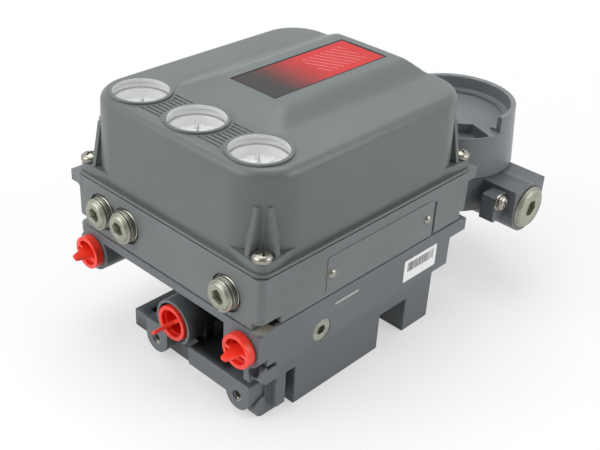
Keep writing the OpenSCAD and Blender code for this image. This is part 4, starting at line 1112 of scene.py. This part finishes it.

# cast bead on the band of the housing, rubbed bright: worn paint and a painted highlight along its ridge
beadSettings = {"start": (42.6, 0.0, -5.4), "length": 15.0, "radius": 0.6,
                "ends": ((0.0, 0.1), (0.12, 0.6), (0.4, 1.0))}
beadLine = list(beadSettings["ends"])
beadLine += [(beadSettings["length"] - x, share) for x, share in reversed(beadLine)]
loops = []
for x, share in beadLine:
    reach = share * beadSettings["radius"]
    loops.append([(x * mm, reach * math.cos(a) * mm, reach * math.sin(a) * mm) for a in round32])
bead = loopSkin("castBead", loops, Matrix.Translation(at(*beadSettings["start"])), beadPaint)
settle(bead, "instrument")
print("print, chips and bead done")

# camera at the photograph's place
lookFrom = {"place": (-0.30648, -0.25806, 0.27740), "turn": -48.306, "rise": 31.376, "roll": 3.514,
            "lens": 60.03, "sensor": 36.0, "nearest": 0.01}
turn, rise, roll = (math.radians(lookFrom[angle]) for angle in ("turn", "rise", "roll"))
back = Vector((math.sin(turn) * math.cos(rise), -math.cos(turn) * math.cos(rise), math.sin(rise)))
lens = bpy.data.cameras.new("photoCamera")
lens.lens = lookFrom["lens"]
lens.sensor_width = lookFrom["sensor"]
lens.clip_start = lookFrom["nearest"]
camera = newPiece("photoCamera", lens)
camera.location = lookFrom["place"]
camera.rotation_mode = "QUATERNION"
camera.rotation_quaternion = (-back).to_track_quat("-Z", "Y") @ Quaternion((0, 0, 1), roll)
scene.camera = camera


# 1 where the camera looks, or where a reflection or a clear piece shows the place
def seenRays(wire):
    path = wire.tree.nodes.new("ShaderNodeLightPath")
    rays = ("Is Camera Ray", "Is Glossy Ray", "Is Transmission Ray")
    straight, glossy, through = (Wire(wire.tree, path.outputs[ray]) for ray in rays)
    return wire.maths("MINIMUM", straight + glossy + through, 1.0)


# pale floor that fades to white
floorSettings = {"half": 4, "colour": rgb(0.9, 0.9, 0.9), "fade": (0.1, 0.4), "white": 0.52}


def floorFinish():
    material = bpy.data.materials.new("paleFloor")
    material.use_nodes = True
    tree = material.node_tree
    tree.nodes.clear()
    wire = Wire(tree)
    place = wire.node("ShaderNodeTexCoord", out="Object")
    reach = wire.node("ShaderNodeVectorMath", {"operation": "LENGTH"}, {0: place}, out="Value")
    matte = wire.node("ShaderNodeBsdfDiffuse", {}, {"Color": floorSettings["colour"]})
    glow = wire.node("ShaderNodeEmission", {}, {"Color": rgb(1, 1, 1), "Strength": 1.0})
    white = floorSettings["white"]
    share = seenRays(wire) * (reach.step(*floorSettings["fade"]) * (1 - white) + white)
    mixed = wire.node("ShaderNodeMixShader", {}, {0: share, 1: matte, 2: glow})
    output = tree.nodes.new("ShaderNodeOutputMaterial")
    tree.links.new(mixed.socket, output.inputs[0])
    return material


half = floorSettings["half"]
corners = [(-half, -half, 0), (half, -half, 0), (half, half, 0), (-half, half, 0)]
floorMesh = bpy.data.meshes.new("studioFloor")
floorMesh.from_pydata(corners, [], [(0, 1, 2, 3)])
floorMesh.materials.append(floorFinish())
newPiece("studioFloor", floorMesh)

# the open side of the studio, toward the camera, is darker
worldSettings = {"colour": rgb(0.97, 0.985, 1.0), "level": 0.45, "toward": (-0.64, -0.64, 0.42),
                 "fade": (0.2, 0.92), "darker": 0.68}


def studioWorld():
    world = bpy.data.worlds.new("studioWorld")
    world.use_nodes = True
    tree = world.node_tree
    tree.nodes.clear()
    wire = Wire(tree)
    product = {0: wire.node("ShaderNodeTexCoord", out="Generated"), 1: worldSettings["toward"]}
    front = wire.node("ShaderNodeVectorMath", {"operation": "DOT_PRODUCT"}, product, out="Value")
    level = seenRays(wire) * (1 - worldSettings["level"]) + worldSettings["level"]
    level = level * (1.0 - front.step(*worldSettings["fade"]) * worldSettings["darker"])
    light = wire.node("ShaderNodeBackground", {}, {"Color": worldSettings["colour"], "Strength": level})
    tree.links.new(light.socket, tree.nodes.new("ShaderNodeOutputWorld").inputs[0])
    return world


scene.world = studioWorld()

# soft studio lamps, turned to the object
lampAim = Vector((0, 0, 0.05))
lampSettings = {
    "softLeft": {"from": (-0.75, 0.25, 0.55), "size": 0.7, "watts": 5.0},
    "softRight": {"from": (0.35, -0.8, 0.5), "size": 0.6, "watts": 4.0},
    "softTop": {"from": (0.1, 0.25, 0.95), "size": 0.8, "watts": 5.0},
}
for name, settings in lampSettings.items():
    light = bpy.data.lights.new(name, "AREA")
    light.size = settings["size"]
    light.energy = settings["watts"]
    lamp = newPiece(name, light)
    lamp.location = settings["from"]
    lamp.rotation_mode = "QUATERNION"
    lamp.rotation_quaternion = (lampAim - lamp.location).to_track_quat("-Z", "Y")

scene.view_settings.view_transform = "Standard"
print("camera, floor and lamps set")
